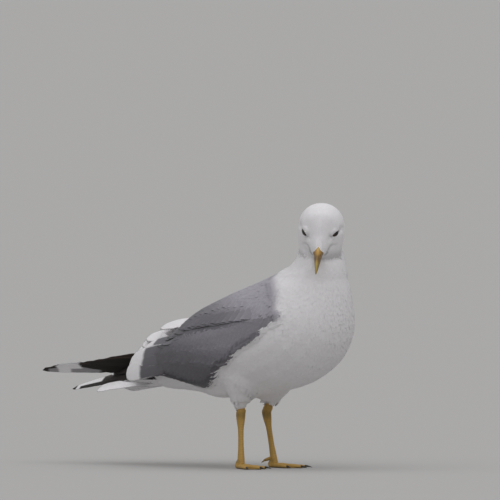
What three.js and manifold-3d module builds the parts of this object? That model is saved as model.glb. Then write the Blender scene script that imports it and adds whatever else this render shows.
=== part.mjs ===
// A common gull (Larus canus), adult in breeding plumage, as a life-size museum model.
// It stands on both feet with its head turned to its right and bowed, its wing tips crossed over the tail.
// Millimetres, +Z up. The bird faces -Y and its left side is +X. The soles are at Z = 0.

import * as THREE from "three";
import { mergeVertices } from "three/addons/utils/BufferGeometryUtils.js";
import Module from "manifold-3d";

const wasm = await Module();
wasm.setup();

// ---- Driving dimensions ----

const GAP = 0.3; // clear space between neighbouring pieces
const FAR = 400; // longer than the bird, for cutting shapes
const RIGHT = -1;
const LEFT = 1;

const CULMEN = 31; // bill length along its ridge, from the feathers
const BILL_WIDTH = 9.6; // at the corners of the mouth
const EYE_RADIUS = 5.7;
const TARSUS_HEIGHT = 50; // ankle joint above the floor
const MIDDLE_TOE = 37; // without its claw
const CLAW = 7;
const QUILL_PAIRS = 6; // a gull has twelve tail feathers

// The head's own frame: x along the bill, y to the head's left, z through the crown.
const HEAD = {
  centre: place(86, -3, 225.2),
  turn: THREE.MathUtils.degToRad(51.5), // to the bird's right
  bow: THREE.MathUtils.degToRad(38),
  lean: THREE.MathUtils.degToRad(2.4), // the left cheek is the lower one
};

// Rings round the body from the root of the tail to the top of the neck. Each is an oval from its
// top to its bottom point on the midline [forward, up], as wide as twice "half".
const BODY = [
  { top: [-140, 83], bottom: [-140, 73.5], half: 8 },
  { top: [-112, 101], bottom: [-112, 72], half: 21 },
  { top: [-82, 118], bottom: [-82, 70], half: 33 },
  { top: [-50, 134], bottom: [-50, 68], half: 41 },
  { top: [-18, 149], bottom: [-14, 67], half: 47.5 },
  { top: [10, 162.5], bottom: [24, 70], half: 50.5 },
  { top: [28, 173], bottom: [58, 78], half: 51 },
  { top: [39, 180.5], bottom: [86, 93], half: 48 },
  { top: [47.5, 187], bottom: [104, 116], half: 41 },
  { top: [54, 193], bottom: [109, 141], half: 32 },
  { top: [59, 199], bottom: [107, 166], half: 25.5 },
  { top: [62, 205], bottom: [103.5, 187], half: 22.5 },
  { top: [66, 211], bottom: [99, 201], half: 20.5 },
  { top: [74, 216], bottom: [94, 210], half: 12 },
];

// The closed wings and the shoulder feathers lie on the body as a cloak, in the same kind of rings.
const CLOAK = [
  { top: [-150, 108], bottom: [-150, 60], half: 26 },
  { top: [-112, 128], bottom: [-112, 58], half: 35 },
  { top: [-82, 139], bottom: [-82, 58], half: 41 },
  { top: [-50, 151], bottom: [-50, 58], half: 47 },
  { top: [-18, 162.5], bottom: [-14, 58], half: 52 },
  { top: [10, 171.5], bottom: [24, 60], half: 54.5 },
  { top: [28, 178], bottom: [58, 68], half: 54.5 },
  { top: [39, 183.5], bottom: [84, 84], half: 50.5 },
  { top: [47.5, 189], bottom: [99, 108], half: 41 },
];
const THINNEST_WING = 1.8; // how far the cloak lies over the body at the least

// Side outlines of the feather groups, [forward, up].
const WING_END = -107; // where the long inner quills come out from under the coverts
const COVERT_LINE = [
  [WING_END, 113], [-64, 123], [-30, 127.5], [10, 133], [42, 140], [66, 147.5],
];
const WING_FRONT = [
  [78, 142], [62, 134], [52, 123], [38, 116.5], [27, 111.5], [18, 104.5], [12, 99.5], [0, 95],
  [-8, 90], [-13, 84.5],
];
const WING_LOWER_EDGE = [
  [-20, 80.5], [-33, 78.4], [-48, 79], [-62, 80.5], [-76, 82.5], [-90, 86], [WING_END, 91],
];
const MANTLE_FRONT = [
  [66, 160], [54, 174], [42, 195],
];
const SCAPULAR_END = [
  [-88, 150], [-104, 139], [-114, 128], [-116, 119],
];
const COVERT_END = [
  [-110, 98], [-112, 106],
];

// ---- Shapes ----

// A point from its distances forward of the heels, to the bird's left, and above the floor.
function place(forward, left, up) {
  return new THREE.Vector3(left, -forward, up);
}

function solidOf(geometry) {
  const bare = geometry.clone();
  bare.deleteAttribute("normal");
  bare.deleteAttribute("uv");
  const merged = mergeVertices(bare, 1e-3);
  return new wasm.Manifold(
    new wasm.Mesh({
      numProp: 3,
      vertProperties: merged.attributes.position.array,
      triVerts: new Uint32Array(merged.index.array),
    }),
  );
}

function geometryOf(solid) {
  const { vertProperties, triVerts } = solid.getMesh();
  const geometry = new THREE.BufferGeometry();
  geometry.setAttribute("position", new THREE.BufferAttribute(vertProperties, 3));
  geometry.setIndex(new THREE.BufferAttribute(triVerts, 1));
  const flat = geometry.toNonIndexed();
  flat.computeVertexNormals();
  return flat;
}

// A closed skin over a row of rings with equal numbers of points, its ends fanned to their middles.
function loft(rings) {
  const around = rings[0].length;
  const points = rings.flat();
  const middleOf = (ring) =>
    ring.reduce((sum, p) => sum.add(p), new THREE.Vector3()).divideScalar(around);
  const first = points.push(middleOf(rings[0])) - 1;
  const last = points.push(middleOf(rings[rings.length - 1])) - 1;
  const faces = [];
  for (let k = 0; k < around; k++) {
    const next = (k + 1) % around;
    for (let r = 0; r + 1 < rings.length; r++) {
      const low = r * around;
      const high = low + around;
      faces.push(low + k, low + next, high + next, low + k, high + next, high + k);
    }
    const end = (rings.length - 1) * around;
    faces.push(first, next, k, last, end + k, end + next);
  }
  const geometry = new THREE.BufferGeometry();
  geometry.setAttribute(
    "position",
    new THREE.Float32BufferAttribute(points.flatMap((p) => p.toArray()), 3),
  );
  geometry.setIndex(faces);
  const solid = solidOf(geometry);
  if (solid.volume() > 0) return solid;
  for (let i = 0; i < faces.length; i += 3) {
    [faces[i], faces[i + 1]] = [faces[i + 1], faces[i]];
  }
  geometry.setIndex(faces);
  return solidOf(geometry);
}

// A smooth value between the entries of a list, with t from 0 to 1 along the whole list.
function along(values, t) {
  const x = t * (values.length - 1);
  const i = Math.min(Math.floor(x), values.length - 2);
  const u = x - i;
  const at = (k) => values[Math.min(Math.max(k, 0), values.length - 1)];
  const [a, b, c, d] = [at(i - 1), at(i), at(i + 1), at(i + 2)];
  const slopeB = (c - a) / 2;
  const slopeC = (d - b) / 2;
  const rise = c - b;
  return b + u * (slopeB + u * (3 * rise - 2 * slopeB - slopeC + u * (slopeB + slopeC - 2 * rise)));
}

// An oval ring between a top and a bottom point on the midline, widest at "girth" of the way up.
function oval({ top, bottom, half, girth = 0.46, grow = 0, around = 28 }) {
  const axis = top.clone().sub(bottom).normalize();
  const high = top.clone().addScaledVector(axis, grow);
  const low = bottom.clone().addScaledVector(axis, -grow);
  const waist = low.clone().lerp(high, girth);
  const side = new THREE.Vector3(1, 0, 0);
  return Array.from({ length: around }, (_, k) => {
    const angle = (k / around) * 2 * Math.PI;
    const rise = Math.sin(angle);
    const reach = rise > 0 ? waist.distanceTo(high) : waist.distanceTo(low);
    return waist
      .clone()
      .addScaledVector(side, Math.cos(angle) * (half + grow))
      .addScaledVector(axis, rise * reach);
  });
}

function trunkLoft(rows, { grow = 0, steps = 2, around = 20 } = {}) {
  const count = (rows.length - 1) * steps;
  const rings = [];
  for (let i = 0; i <= count; i++) {
    const value = (pick) => along(rows.map(pick), i / count);
    rings.push(
      oval({
        top: place(value((r) => r.top[0]), 0, value((r) => r.top[1])),
        bottom: place(value((r) => r.bottom[0]), 0, value((r) => r.bottom[1])),
        half: value((r) => r.half),
        grow,
        around,
      }),
    );
  }
  return loft(rings);
}

// A tube of oval sections along points, each section [fore-and-aft half, sideways half].
function limb(points, sections, { around = 12, grow = 0 } = {}) {
  const rings = points.map((point, i) => {
    const before = points[Math.max(i - 1, 0)];
    const after = points[Math.min(i + 1, points.length - 1)];
    const run = after.clone().sub(before).normalize();
    const side = new THREE.Vector3(1, 0, 0).addScaledVector(run, -run.x).normalize();
    const fore = run.clone().cross(side);
    return Array.from({ length: around }, (_, k) => {
      const angle = (k / around) * 2 * Math.PI;
      return point
        .clone()
        .addScaledVector(fore, Math.sin(angle) * (sections[i][0] + grow))
        .addScaledVector(side, Math.cos(angle) * (sections[i][1] + grow));
    });
  });
  return loft(rings);
}

// One long feather: a thin curved blade from root to tip whose flat side faces "face".
function blade({ root, tip, face, width, thickness, bow = 0, grow = 0, pointed = 0.3, steps = 4 }) {
  const run = tip.clone().sub(root);
  const flat = face.clone().addScaledVector(run, -face.dot(run) / run.lengthSq()).normalize();
  const across = run.clone().normalize().cross(flat);
  const rings = [];
  for (let i = 0; i <= steps; i++) {
    const t = i / steps;
    const end = Math.max(0, (t - 1 + pointed) / pointed);
    const half = (width / 2) * Math.sqrt(1 - 0.94 * end * end) + grow;
    const middle = root
      .clone()
      .addScaledVector(run, t)
      .addScaledVector(flat, 4 * bow * t * (1 - t));
    const thick = thickness / 2 + grow;
    const corner = (a, b) =>
      middle.clone().addScaledVector(across, a * half).addScaledVector(flat, b * thick);
    rings.push([corner(-1, -1), corner(1, -1), corner(1, 1), corner(-1, 1)]);
  }
  return loft(rings);
}

// A slab with a side outline [forward, up], from one distance left of the midline to another.
function slab(outline, from, to) {
  const shape = new THREE.Shape(outline.map(([forward, up]) => new THREE.Vector2(-forward, up)));
  const geometry = new THREE.ExtrudeGeometry(shape, {
    depth: to - from,
    bevelEnabled: false,
    curveSegments: 1,
  });
  // The outline is drawn in the plane of Y and Z, and the slab is as thick as it needs along X.
  geometry.applyMatrix4(
    new THREE.Matrix4().makeBasis(
      new THREE.Vector3(0, 1, 0),
      new THREE.Vector3(0, 0, 1),
      new THREE.Vector3(1, 0, 0),
    ),
  );
  geometry.translate(from, 0, 0);
  return solidOf(geometry);
}

const join = (solids) => solids.reduce((sum, s) => sum.add(s));
const cut = (solid, tools) => tools.reduce((rest, tool) => rest.subtract(tool), solid);
const SMOOTHING = 0.02; // cut edges closer than this are merged
const biggest = (solid) => solid.decompose().sort((a, b) => b.volume() - a.volume())[0];
// One clean body: crumbs left by the cuts, and any crumb that only merging shows, are dropped.
const largest = (solid) => biggest(solidOf(geometryOf(biggest(solid).simplify(SMOOTHING))));
const nameOf = (side) => (side === RIGHT ? "right" : "left");

// ---- Head ----

const headTurn = new THREE.Matrix4().makeRotationFromEuler(
  new THREE.Euler(-HEAD.lean, HEAD.bow, -Math.PI / 2 - HEAD.turn, "ZYX"),
);
const headPlace = headTurn.clone().setPosition(HEAD.centre);
const inHead = (x, y, z) => new THREE.Vector3(x, y, z).applyMatrix4(headPlace);
const placedAsHead = (solid) => solid.transform(headPlace.elements);

// Rings across the head from its back to the feathers at the bill: [x, top, bottom, half width,
// how far up the ring is widest, how pinched its upper half is]. The face narrows over a full throat.
const SKULL = [
  [-20.6, 2, -5, 4.5, 0.5, 1],
  [-18.4, 8.6, -11, 11, 0.5, 1],
  [-13, 15.2, -17, 16.8, 0.5, 1],
  [-5, 19.1, -22, 20.6, 0.5, 1],
  [3, 19.7, -25.5, 21, 0.48, 1],
  [9, 18.2, -29.6, 20.6, 0.42, 1],
  [14, 15.2, -31.6, 19.4, 0.36, 1.12],
  [19, 11.2, -30.8, 17.4, 0.34, 1.35],
  [24, 6.4, -27.6, 14, 0.36, 1.45],
  [28, 2.6, -21.6, 9.6, 0.38, 1.35],
  [31.5, -0.4, -12.6, 4.6, 0.45, 1],
];

const AROUND_HEAD = 18;
const RINGS_ALONG_HEAD = 16;

function headLoft(grow = 0) {
  const count = RINGS_ALONG_HEAD - 1;
  const rings = [];
  for (let i = 0; i <= count; i++) {
    const value = (column) => along(SKULL.map((row) => row[column]), i / count);
    const x = value(0) + (i === 0 ? -grow : 0) + (i === count ? grow : 0);
    const top = value(1) + grow;
    const bottom = value(2) - grow;
    const waist = THREE.MathUtils.lerp(bottom, top, value(4));
    rings.push(
      Array.from({ length: AROUND_HEAD }, (_, k) => {
        const angle = (k / AROUND_HEAD) * 2 * Math.PI;
        const rise = Math.sin(angle);
        const out = Math.cos(angle);
        const pinch = rise > 0 ? value(5) : 1;
        return new THREE.Vector3(
          x,
          Math.sign(out) * Math.abs(out) ** pinch * (value(3) + grow),
          waist + rise * (rise > 0 ? top - waist : waist - bottom),
        );
      }),
    );
  }
  return loft(rings);
}

const EYE = { x: 12.6, y: 11.6, z: 1.4 };

function eyeBall(side, grow = 0) {
  const ball = new THREE.SphereGeometry(EYE_RADIUS + grow, 10, 7);
  ball.rotateX(Math.PI / 2);
  ball.translate(EYE.x, side * EYE.y, EYE.z);
  return solidOf(ball);
}

// The bill, in the head's frame: t runs from the feathers to the tip.
const BILL_START = 27;
const BILL_TIP = BILL_START + 3.5 + CULMEN;
const billX = (t) => THREE.MathUtils.lerp(BILL_START, BILL_TIP, t);
const billHalf = (t) => (BILL_WIDTH / 2) * (1 - 0.62 * t - 0.26 * t ** 4);
const culmen = (t) => 0.4 - 1.6 * t - 7 * t ** 5;
const mouthLine = (t) => -6.4 - 0.9 * t - 1.1 * t ** 4;
const keel = (t) => -12.2 + 1.1 * Math.min(t / 0.62, 1) ** 3 + 2.6 * Math.max(0, (t - 0.62) / 0.38) ** 1.3;

function billHalfSolid(upper, grow = 0) {
  const end = upper ? 1 : 0.95;
  const rings = [];
  for (let i = 0; i <= 12; i++) {
    const t = (i / 12) * end;
    const edge = mouthLine(t) + (upper ? GAP / 2 - grow : -GAP / 2 + grow);
    const ridge = upper ? culmen(t) + grow : keel(t) - grow;
    const half = billHalf(t) * (upper ? 1 : 0.94) + grow;
    rings.push(
      Array.from({ length: 9 }, (_, k) => {
        const angle = (k / 8) * Math.PI;
        return new THREE.Vector3(
          billX(t),
          Math.cos(angle) * half,
          edge + (ridge - edge) * Math.sin(angle) ** 0.8,
        );
      }),
    );
  }
  return loft(rings);
}

const skull = headLoft();
const billUpper = largest(cut(billHalfSolid(true), [headLoft(GAP)]));
const billLower = largest(cut(billHalfSolid(false), [headLoft(GAP)]));
const head = largest(
  cut(skull, [eyeBall(LEFT, GAP), eyeBall(RIGHT, GAP)]),
);
const headRoom = placedAsHead(headLoft(GAP));

// ---- Neck, trunk and tail ----

const AFT = new THREE.Vector3(0, 1, 0);
const UP = new THREE.Vector3(0, 0, 1);
const DOWN = UP.clone().negate();

const NECK_PARTING = { point: place(82, 0, 186), normal: new THREE.Vector3(0, -0.28, 0.96).normalize() };
const TAIL_ROOT = -116;

const body = trunkLoft(BODY);
const trim = (solid, normal, offset) => solid.trimByPlane(normal.toArray(), offset);
const neckOffset = NECK_PARTING.normal.dot(NECK_PARTING.point);
const neck = largest(trim(body, NECK_PARTING.normal, neckOffset).subtract(headRoom));
const belowNeck = trim(body, NECK_PARTING.normal.clone().negate(), -(neckOffset - GAP));
const trunk = trim(belowNeck, AFT.clone().negate(), TAIL_ROOT);

const TAIL = {
  root: -100,
  tip: -193,
  rootUp: 79,
  tipUp: 69.3,
  halfWidth: 22,
  quillWidth: 16,
  thickness: 1.4,
};

function tailFeathers(grow = 0) {
  const blades = [];
  for (let pair = 0; pair < QUILL_PAIRS; pair++) {
    for (const side of [RIGHT, LEFT]) {
      const spread = (pair + 0.5) / QUILL_PAIRS;
      blades.push(
        blade({
          root: place(TAIL.root, side * spread * 8, TAIL.rootUp - 0.5 * pair),
          tip: place(
            TAIL.tip + 2.4 * spread * spread,
            side * spread * (TAIL.halfWidth - TAIL.quillWidth / 2 + 4),
            TAIL.tipUp - 0.55 * pair,
          ),
          face: new THREE.Vector3(side * 0.12 * spread, 0, 1),
          width: TAIL.quillWidth,
          thickness: TAIL.thickness,
          pointed: 0.14,
          grow,
          steps: 3,
        }),
      );
    }
  }
  return join(blades);
}

const rump = trim(belowNeck, AFT, -TAIL_ROOT + GAP);
const tail = largest(trim(join([rump, tailFeathers()]), AFT, -TAIL_ROOT + GAP));
const tailRoom = join([trunkLoft(BODY, { grow: GAP }), tailFeathers(GAP)]);

// ---- Wings ----

const bodyRoom = trunkLoft(BODY, { grow: GAP });
const cloak = join([trunkLoft(CLOAK, { around: 24 }), trunkLoft(BODY, { grow: THINNEST_WING })]);

const SCAPULAR_OUTLINE = [...SCAPULAR_END, ...COVERT_LINE, ...MANTLE_FRONT, [30, 240], [-60, 240]];
const COVERT_OUTLINE = [
  ...COVERT_LINE.map(([forward, up]) => [forward, up - GAP]),
  ...WING_FRONT,
  ...WING_LOWER_EDGE,
  ...COVERT_END,
];
const cloakPart = (side, outline) =>
  cloak.intersect(side === RIGHT ? slab(outline, -FAR, -GAP / 2) : slab(outline, GAP / 2, FAR));
const wingSheet = (side, outline) => largest(cut(cloakPart(side, outline), [bodyRoom]));
// The solid and the gap behind, above and below it.
const withGap = (solid) =>
  join([[0, 0, 0], [0, GAP, 0], [0, GAP, GAP], [0, GAP, -GAP]].map((move) => solid.translate(move)));

// The long inner quills fan out behind the coverts. The left wing is carried higher, and over the right.
const TERTIALS = {
  [RIGHT]: [
    { root: place(-66, -40, 96), tip: place(-141, -29, 85), width: 20 },
    { root: place(-64, -38, 107), tip: place(-139, -26, 95), width: 22 },
    { root: place(-62, -33, 117), tip: place(-133, -21, 105), width: 24 },
    { root: place(-60, -25, 125), tip: place(-126, -14, 113), width: 24 },
    { root: place(-58, -14, 129), tip: place(-120, -6, 119), width: 20 },
  ],
  [LEFT]: [
    { root: place(-66, 40, 97), tip: place(-172, 11, 99), width: 22 },
    { root: place(-64, 37, 108), tip: place(-166, 13, 107), width: 24 },
    { root: place(-62, 32, 118), tip: place(-155, 14, 115), width: 24 },
    { root: place(-60, 25, 126), tip: place(-142, 12, 121), width: 24 },
    { root: place(-58, 14, 130), tip: place(-127, 8, 125), width: 22 },
  ],
};

function tertialBlades(side, grow = 0) {
  return join(
    TERTIALS[side].map(({ root, tip, width }, i) =>
      blade({
        root,
        tip,
        width,
        face: new THREE.Vector3(side, 0, 0.2 + 0.12 * i + 0.12 * i * i),
        thickness: 2.4,
        bow: 3,
        grow,
      }),
    ),
  );
}

// The hand quills, from the long outermost one to the ones that end nearer the body.
const HAND_QUILLS = 5;
const HAND = {
  [RIGHT]: { root: place(-84, -30, 92), tip: place(-264, 17, 66.5), last: place(-200, 3, 77), width: 14 },
  [LEFT]: { root: place(-84, 30, 90), tip: place(-265, -18, 83), last: place(-190, -9, 94), width: 19 },
};

function handBlades(side, grow = 0) {
  const { root, tip, last, width } = HAND[side];
  const blades = [];
  for (let i = 0; i < HAND_QUILLS; i++) {
    const inward = i / (HAND_QUILLS - 1);
    blades.push(
      blade({
        root: root.clone().add(place(0, 0, 7 * inward)),
        tip: tip.clone().lerp(last, inward),
        width,
        face: new THREE.Vector3(side * 0.7, 0, 0.7),
        thickness: 1.5,
        bow: 4,
        pointed: 0.4,
        grow,
      }),
    );
  }
  return join(blades);
}

// The quills' roots are inside the wing: only what comes out from under the cloak is made.
const QUILLS_FROM = -88;
const cloakRoom = withGap(
  join([RIGHT, LEFT].flatMap((side) => [cloakPart(side, SCAPULAR_OUTLINE), cloakPart(side, COVERT_OUTLINE)])),
);
const outOfCloak = (solid) => trim(solid, AFT, -QUILLS_FROM).subtract(cloakRoom);
const tertials = {};
const primaries = {};
tertials[RIGHT] = largest(cut(outOfCloak(tertialBlades(RIGHT)), [tailRoom]));
tertials[LEFT] = largest(cut(outOfCloak(tertialBlades(LEFT)), [tailRoom, tertialBlades(RIGHT, GAP)]));
const tertialRoom = [tertialBlades(RIGHT, GAP), tertialBlades(LEFT, GAP)];
primaries[LEFT] = largest(cut(outOfCloak(handBlades(LEFT)), [tailRoom, ...tertialRoom]));
primaries[RIGHT] = largest(
  cut(outOfCloak(handBlades(RIGHT)), [tailRoom, ...tertialRoom, handBlades(LEFT, GAP)]),
);

// ---- Legs ----

const LEGS = {
  [RIGHT]: { hip: [6, -26, 90], knee: [0, -22, 66], ankle: [-1.5, -20, TARSUS_HEIGHT], foot: [0.5, -21.5, 6], toeOut: 10 },
  [LEFT]: { hip: [8, 22, 92], knee: [0, 20, 72], ankle: [-6.5, 18.5, TARSUS_HEIGHT + 1], foot: [0, 22, 6], toeOut: 4 },
};
const FEATHER_END = { [RIGHT]: 57, [LEFT]: 61 }; // the bare shin shows below this height
const SOLE_TOP = 5.5; // the shank ends and the foot starts here

function pointsOn(a, b, count) {
  const from = place(...a);
  const to = place(...b);
  return Array.from({ length: count }, (_, i) => from.clone().lerp(to, i / (count - 1)));
}

function thigh(side) {
  const { hip, knee, ankle } = LEGS[side];
  const points = [...pointsOn(hip, knee, 4), ...pointsOn(knee, ankle, 3).slice(1)];
  const sections = [[22, 16], [18, 14], [13, 10.5], [8.6, 7.4], [5.4, 5], [3.6, 3.4]];
  const solid = trim(limb(points, sections, { around: 14 }), UP, FEATHER_END[side]);
  return largest(cut(solid, [bodyRoom]));
}

function shankTube(side, grow = 0) {
  const { knee, ankle, foot } = LEGS[side];
  const upper = pointsOn(knee, ankle, 4).slice(1, 3);
  const lower = pointsOn(ankle, foot, 8);
  const sections = [
    [3.1, 2.9], [3.5, 3.1], [4.7, 3.9], [4.2, 3.2], [2.9, 2.3], [2.7, 2.1], [2.7, 2.1], [2.8, 2.3], [3.3, 2.7], [3.7, 3],
  ];
  return limb([...upper, ...lower], sections, { around: 10, grow });
}

function shank(side) {
  return largest(trim(trim(shankTube(side), UP, SOLE_TOP + GAP), DOWN, -(FEATHER_END[side] - GAP)));
}

// Toes spread from the ball of the foot. Each is flat below and rounded above.
const TOES = [
  { name: "inner", turn: -21, length: 31, lift: 0 },
  { name: "middle", turn: 1, length: MIDDLE_TOE, lift: 0 },
  { name: "outer", turn: 23, length: 34, lift: 0 },
];
const WEB_THICKNESS = 1.1;

// A toe's frame: the ball of the foot, and the direction in which the toe points.
function toeRun(side, turn) {
  const [forward, left] = LEGS[side].foot;
  const angle = THREE.MathUtils.degToRad(LEGS[side].toeOut + turn);
  const ball = place(forward - 2, left, 0);
  const run = place(Math.cos(angle), side * Math.sin(angle), 0);
  return { ball, run, across: new THREE.Vector3(-run.y, run.x, 0) };
}

function toe(side, { turn, length }) {
  const { ball, run, across } = toeRun(side, turn);
  const rings = [];
  const steps = 5;
  for (let i = 0; i <= steps; i++) {
    const t = i / steps;
    const half = 3.1 - 1.3 * t - (i === 0 || i === steps ? 0.9 : 0);
    const height = 5 - 2.2 * t - (i === steps ? 0.9 : 0);
    const middle = ball.clone().addScaledVector(run, t * length - 2);
    rings.push(
      Array.from({ length: 7 }, (_, k) => {
        const angle = (k / 6) * Math.PI;
        return middle
          .clone()
          .addScaledVector(across, Math.cos(angle) * half)
          .setZ(Math.sin(angle) * height);
      }),
    );
  }
  return loft(rings);
}

// The web between two toes: a flat sheet whose front edge is a shallow bay.
function web(side, first, second) {
  const a = toeRun(side, first.turn);
  const b = toeRun(side, second.turn);
  const start = a.ball.clone().add(b.ball).multiplyScalar(0.5);
  const rows = 5;
  const rim = Array.from({ length: rows + 1 }, (_, i) => {
    const t = i / rows;
    const run = a.run.clone().lerp(b.run, t).normalize();
    const length = THREE.MathUtils.lerp(first.length, second.length, t) * (0.93 - 0.66 * t * (1 - t));
    return start.clone().addScaledVector(run, length);
  });
  const outline = new THREE.Shape([start, ...rim].map((p) => new THREE.Vector2(p.x, p.y)));
  return solidOf(
    new THREE.ExtrudeGeometry(outline, { depth: WEB_THICKNESS, bevelEnabled: false, curveSegments: 1 }),
  );
}

function foot(side) {
  const [inner, middle, outer] = TOES;
  const [forward, left] = LEGS[side].foot;
  const heel = limb(
    pointsOn([forward - 3.5, left, 0], [forward - 1, left, SOLE_TOP], 4),
    [[3.4, 3.2], [4.6, 3.8], [4.3, 3.4], [3.8, 3]],
    { around: 12 },
  );
  const pieces = [heel, ...TOES.map((t) => toe(side, t)), web(side, inner, middle), web(side, middle, outer)];
  return largest(trim(trim(join(pieces), UP, 0), DOWN, -SOLE_TOP));
}

function claw(side, { turn, length }) {
  const { ball, run, across } = toeRun(side, turn);
  const rings = [];
  for (let i = 0; i <= 3; i++) {
    const t = i / 3;
    const middle = ball
      .clone()
      .addScaledVector(run, length - 2 + GAP + t * CLAW)
      .setZ(2.1 - 1.4 * t * t);
    const half = 1.25 * (1 - 0.8 * t);
    rings.push(
      Array.from({ length: 6 }, (_, k) => {
        const angle = (k / 6) * 2 * Math.PI;
        return middle
          .clone()
          .addScaledVector(across, Math.cos(angle) * half)
          .add(new THREE.Vector3(0, 0, Math.sin(angle) * half * 1.1));
      }),
    );
  }
  return loft(rings);
}

// The small hind toe, high on the inner side at the back of the shank.
function hallux(side) {
  const [forward, left] = LEGS[side].foot;
  const start = [forward - 1, left - side * 1, 9.4];
  const end = [forward - 10.5, left - side * 5.4, 5.9];
  const sections = [[1.3, 1.3], [1.7, 1.6], [1.9, 1.7], [1.8, 1.6], [1.3, 1.1], [0.5, 0.5]];
  return largest(cut(limb(pointsOn(start, end, 6), sections, { around: 8 }), [shankTube(side, GAP)]));
}

// ---- Materials ----

const paint = (color, roughness) => new THREE.MeshStandardMaterial({ color, roughness, metalness: 0 });
const WHITE = paint(0xe4e2e4, 0.9);
const GREY = paint(0x8a8a92, 0.85);
const BLACK = paint(0x1f1c1b, 0.6);
const BILL = paint(0xa88a3a, 0.4);
const LEG = paint(0x9a7a26, 0.55);
const HORN = paint(0x1c1714, 0.4);
const EYE_DARK = paint(0x150f0c, 0.05);

// ---- The bird ----

const bird = new THREE.Group();

function add(name, solid, material, parent = bird) {
  const mesh = new THREE.Mesh(geometryOf(solid), material);
  mesh.name = name;
  parent.add(mesh);
}

const headGroup = new THREE.Group();
headGroup.applyMatrix4(headPlace);
bird.add(headGroup);
add("head", head, WHITE, headGroup);
add("bill_upper", billUpper, BILL, headGroup);
add("bill_lower", billLower, BILL, headGroup);
for (const side of [RIGHT, LEFT]) add(`eye_${nameOf(side)}`, eyeBall(side), EYE_DARK, headGroup);

add("neck", neck, WHITE);
add("trunk", trunk, WHITE);
add("tail", tail, WHITE);

for (const side of [RIGHT, LEFT]) {
  const end = nameOf(side);
  add(`wing_${end}_scapulars`, wingSheet(side, SCAPULAR_OUTLINE), GREY);
  add(`wing_${end}_coverts`, wingSheet(side, COVERT_OUTLINE), GREY);
  add(`wing_${end}_tertials`, tertials[side], GREY);
  add(`wing_${end}_primaries`, primaries[side], BLACK);
  add(`thigh_${end}`, thigh(side), WHITE);
  add(`shank_${end}`, shank(side), LEG);
  add(`foot_${end}`, foot(side), LEG);
  add(`hallux_${end}`, hallux(side), LEG);
  for (const toeSpec of TOES) add(`claw_${toeSpec.name}_${end}`, claw(side, toeSpec), HORN);
}

// The origin is under the middle of the whole bird's box, on the floor.
const box = new THREE.Box3().setFromObject(bird, true);
const middle = box.getCenter(new THREE.Vector3());
bird.position.set(-middle.x, -middle.y, -box.min.z);
const model = new THREE.Group();
model.add(bird);

export default model;
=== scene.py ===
import math
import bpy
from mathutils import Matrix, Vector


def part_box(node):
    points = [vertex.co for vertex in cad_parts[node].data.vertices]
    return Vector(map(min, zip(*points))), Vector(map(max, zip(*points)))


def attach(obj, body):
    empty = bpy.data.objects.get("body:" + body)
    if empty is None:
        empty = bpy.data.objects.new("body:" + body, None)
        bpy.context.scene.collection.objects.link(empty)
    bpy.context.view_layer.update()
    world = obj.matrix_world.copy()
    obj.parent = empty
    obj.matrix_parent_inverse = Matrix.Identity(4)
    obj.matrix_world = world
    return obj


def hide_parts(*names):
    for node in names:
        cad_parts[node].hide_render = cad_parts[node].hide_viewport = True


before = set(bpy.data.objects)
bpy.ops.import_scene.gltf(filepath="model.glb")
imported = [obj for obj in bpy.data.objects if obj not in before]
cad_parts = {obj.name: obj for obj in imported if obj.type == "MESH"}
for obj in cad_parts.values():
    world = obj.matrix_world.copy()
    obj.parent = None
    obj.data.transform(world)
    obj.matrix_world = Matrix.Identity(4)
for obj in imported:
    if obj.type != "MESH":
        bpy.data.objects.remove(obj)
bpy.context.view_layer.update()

from types import SimpleNamespace

import bmesh
import bpy
import numpy as np
from mathutils import Matrix, Vector
from mathutils.bvhtree import BVHTree

bl_info = {
    "name": "Common Gull Model",
    "version": (1, 0, 0),
    "blender": (4, 5, 0),
    "location": "3D View > Sidebar > Gull",
    "description": "Dresses the frame of a standing common gull with skin, plumage, bill, eyes and feet",
    "category": "Object",
}

MM = 0.001
RIGHT, LEFT = -1, 1
SIDES = {RIGHT: "right", LEFT: "left"}

# ---- The bird's own coordinates ----

TRUNK_BEHIND_HEELS = 0.116
HEELS_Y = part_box("trunk")[1].y - TRUNK_BEHIND_HEELS


def place(forward, left, up):
    """A point from millimetres forward of the heels, to the bird's left, and above the floor."""
    return Vector((left * MM, HEELS_Y - forward * MM, up * MM))


def middle_of(node):
    """The middle of a node's box."""
    low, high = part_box(node)
    return (low + high) / 2


# The head's frame: x along the bill, y to the head's left, z through the crown.
HEAD_TURN = math.radians(51.5)
HEAD_BOW = math.radians(38)
HEAD_LEAN = math.radians(2.4)
EYE_IN_HEAD = Vector((12.6, 0, 1.4))
EYE_RADIUS = 5.9  # half an eyeball's size in the plane of its opening
EYE_BULGE = 0.5  # how deep an eyeball is against that

HEAD_AXES = (
    Matrix.Rotation(-math.pi / 2 - HEAD_TURN, 4, "Z")
    @ Matrix.Rotation(HEAD_BOW, 4, "Y")
    @ Matrix.Rotation(-HEAD_LEAN, 4, "X")
)
HEAD = (
    Matrix.Translation((middle_of("eye_right") + middle_of("eye_left")) / 2)
    @ HEAD_AXES
    @ Matrix.Translation(-EYE_IN_HEAD * MM)
)
TO_HEAD = HEAD.inverted()


def in_head(x, y, z):
    """A point of the head's frame, in millimetres."""
    return HEAD @ (Vector((x, y, z)) * MM)


def to_head(points):
    """Row points as millimetres in the head's frame."""
    turn = np.array(TO_HEAD.to_3x3())
    return (np.asarray(points) @ turn.T + np.array(TO_HEAD.translation)) / MM


def to_bird(points):
    """Row points as millimetres forward, left and up."""
    points = np.asarray(points) / MM
    return np.stack([HEELS_Y / MM - points[:, 1], points[:, 0], points[:, 2]], 1)


# ---- Array helpers ----


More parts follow.
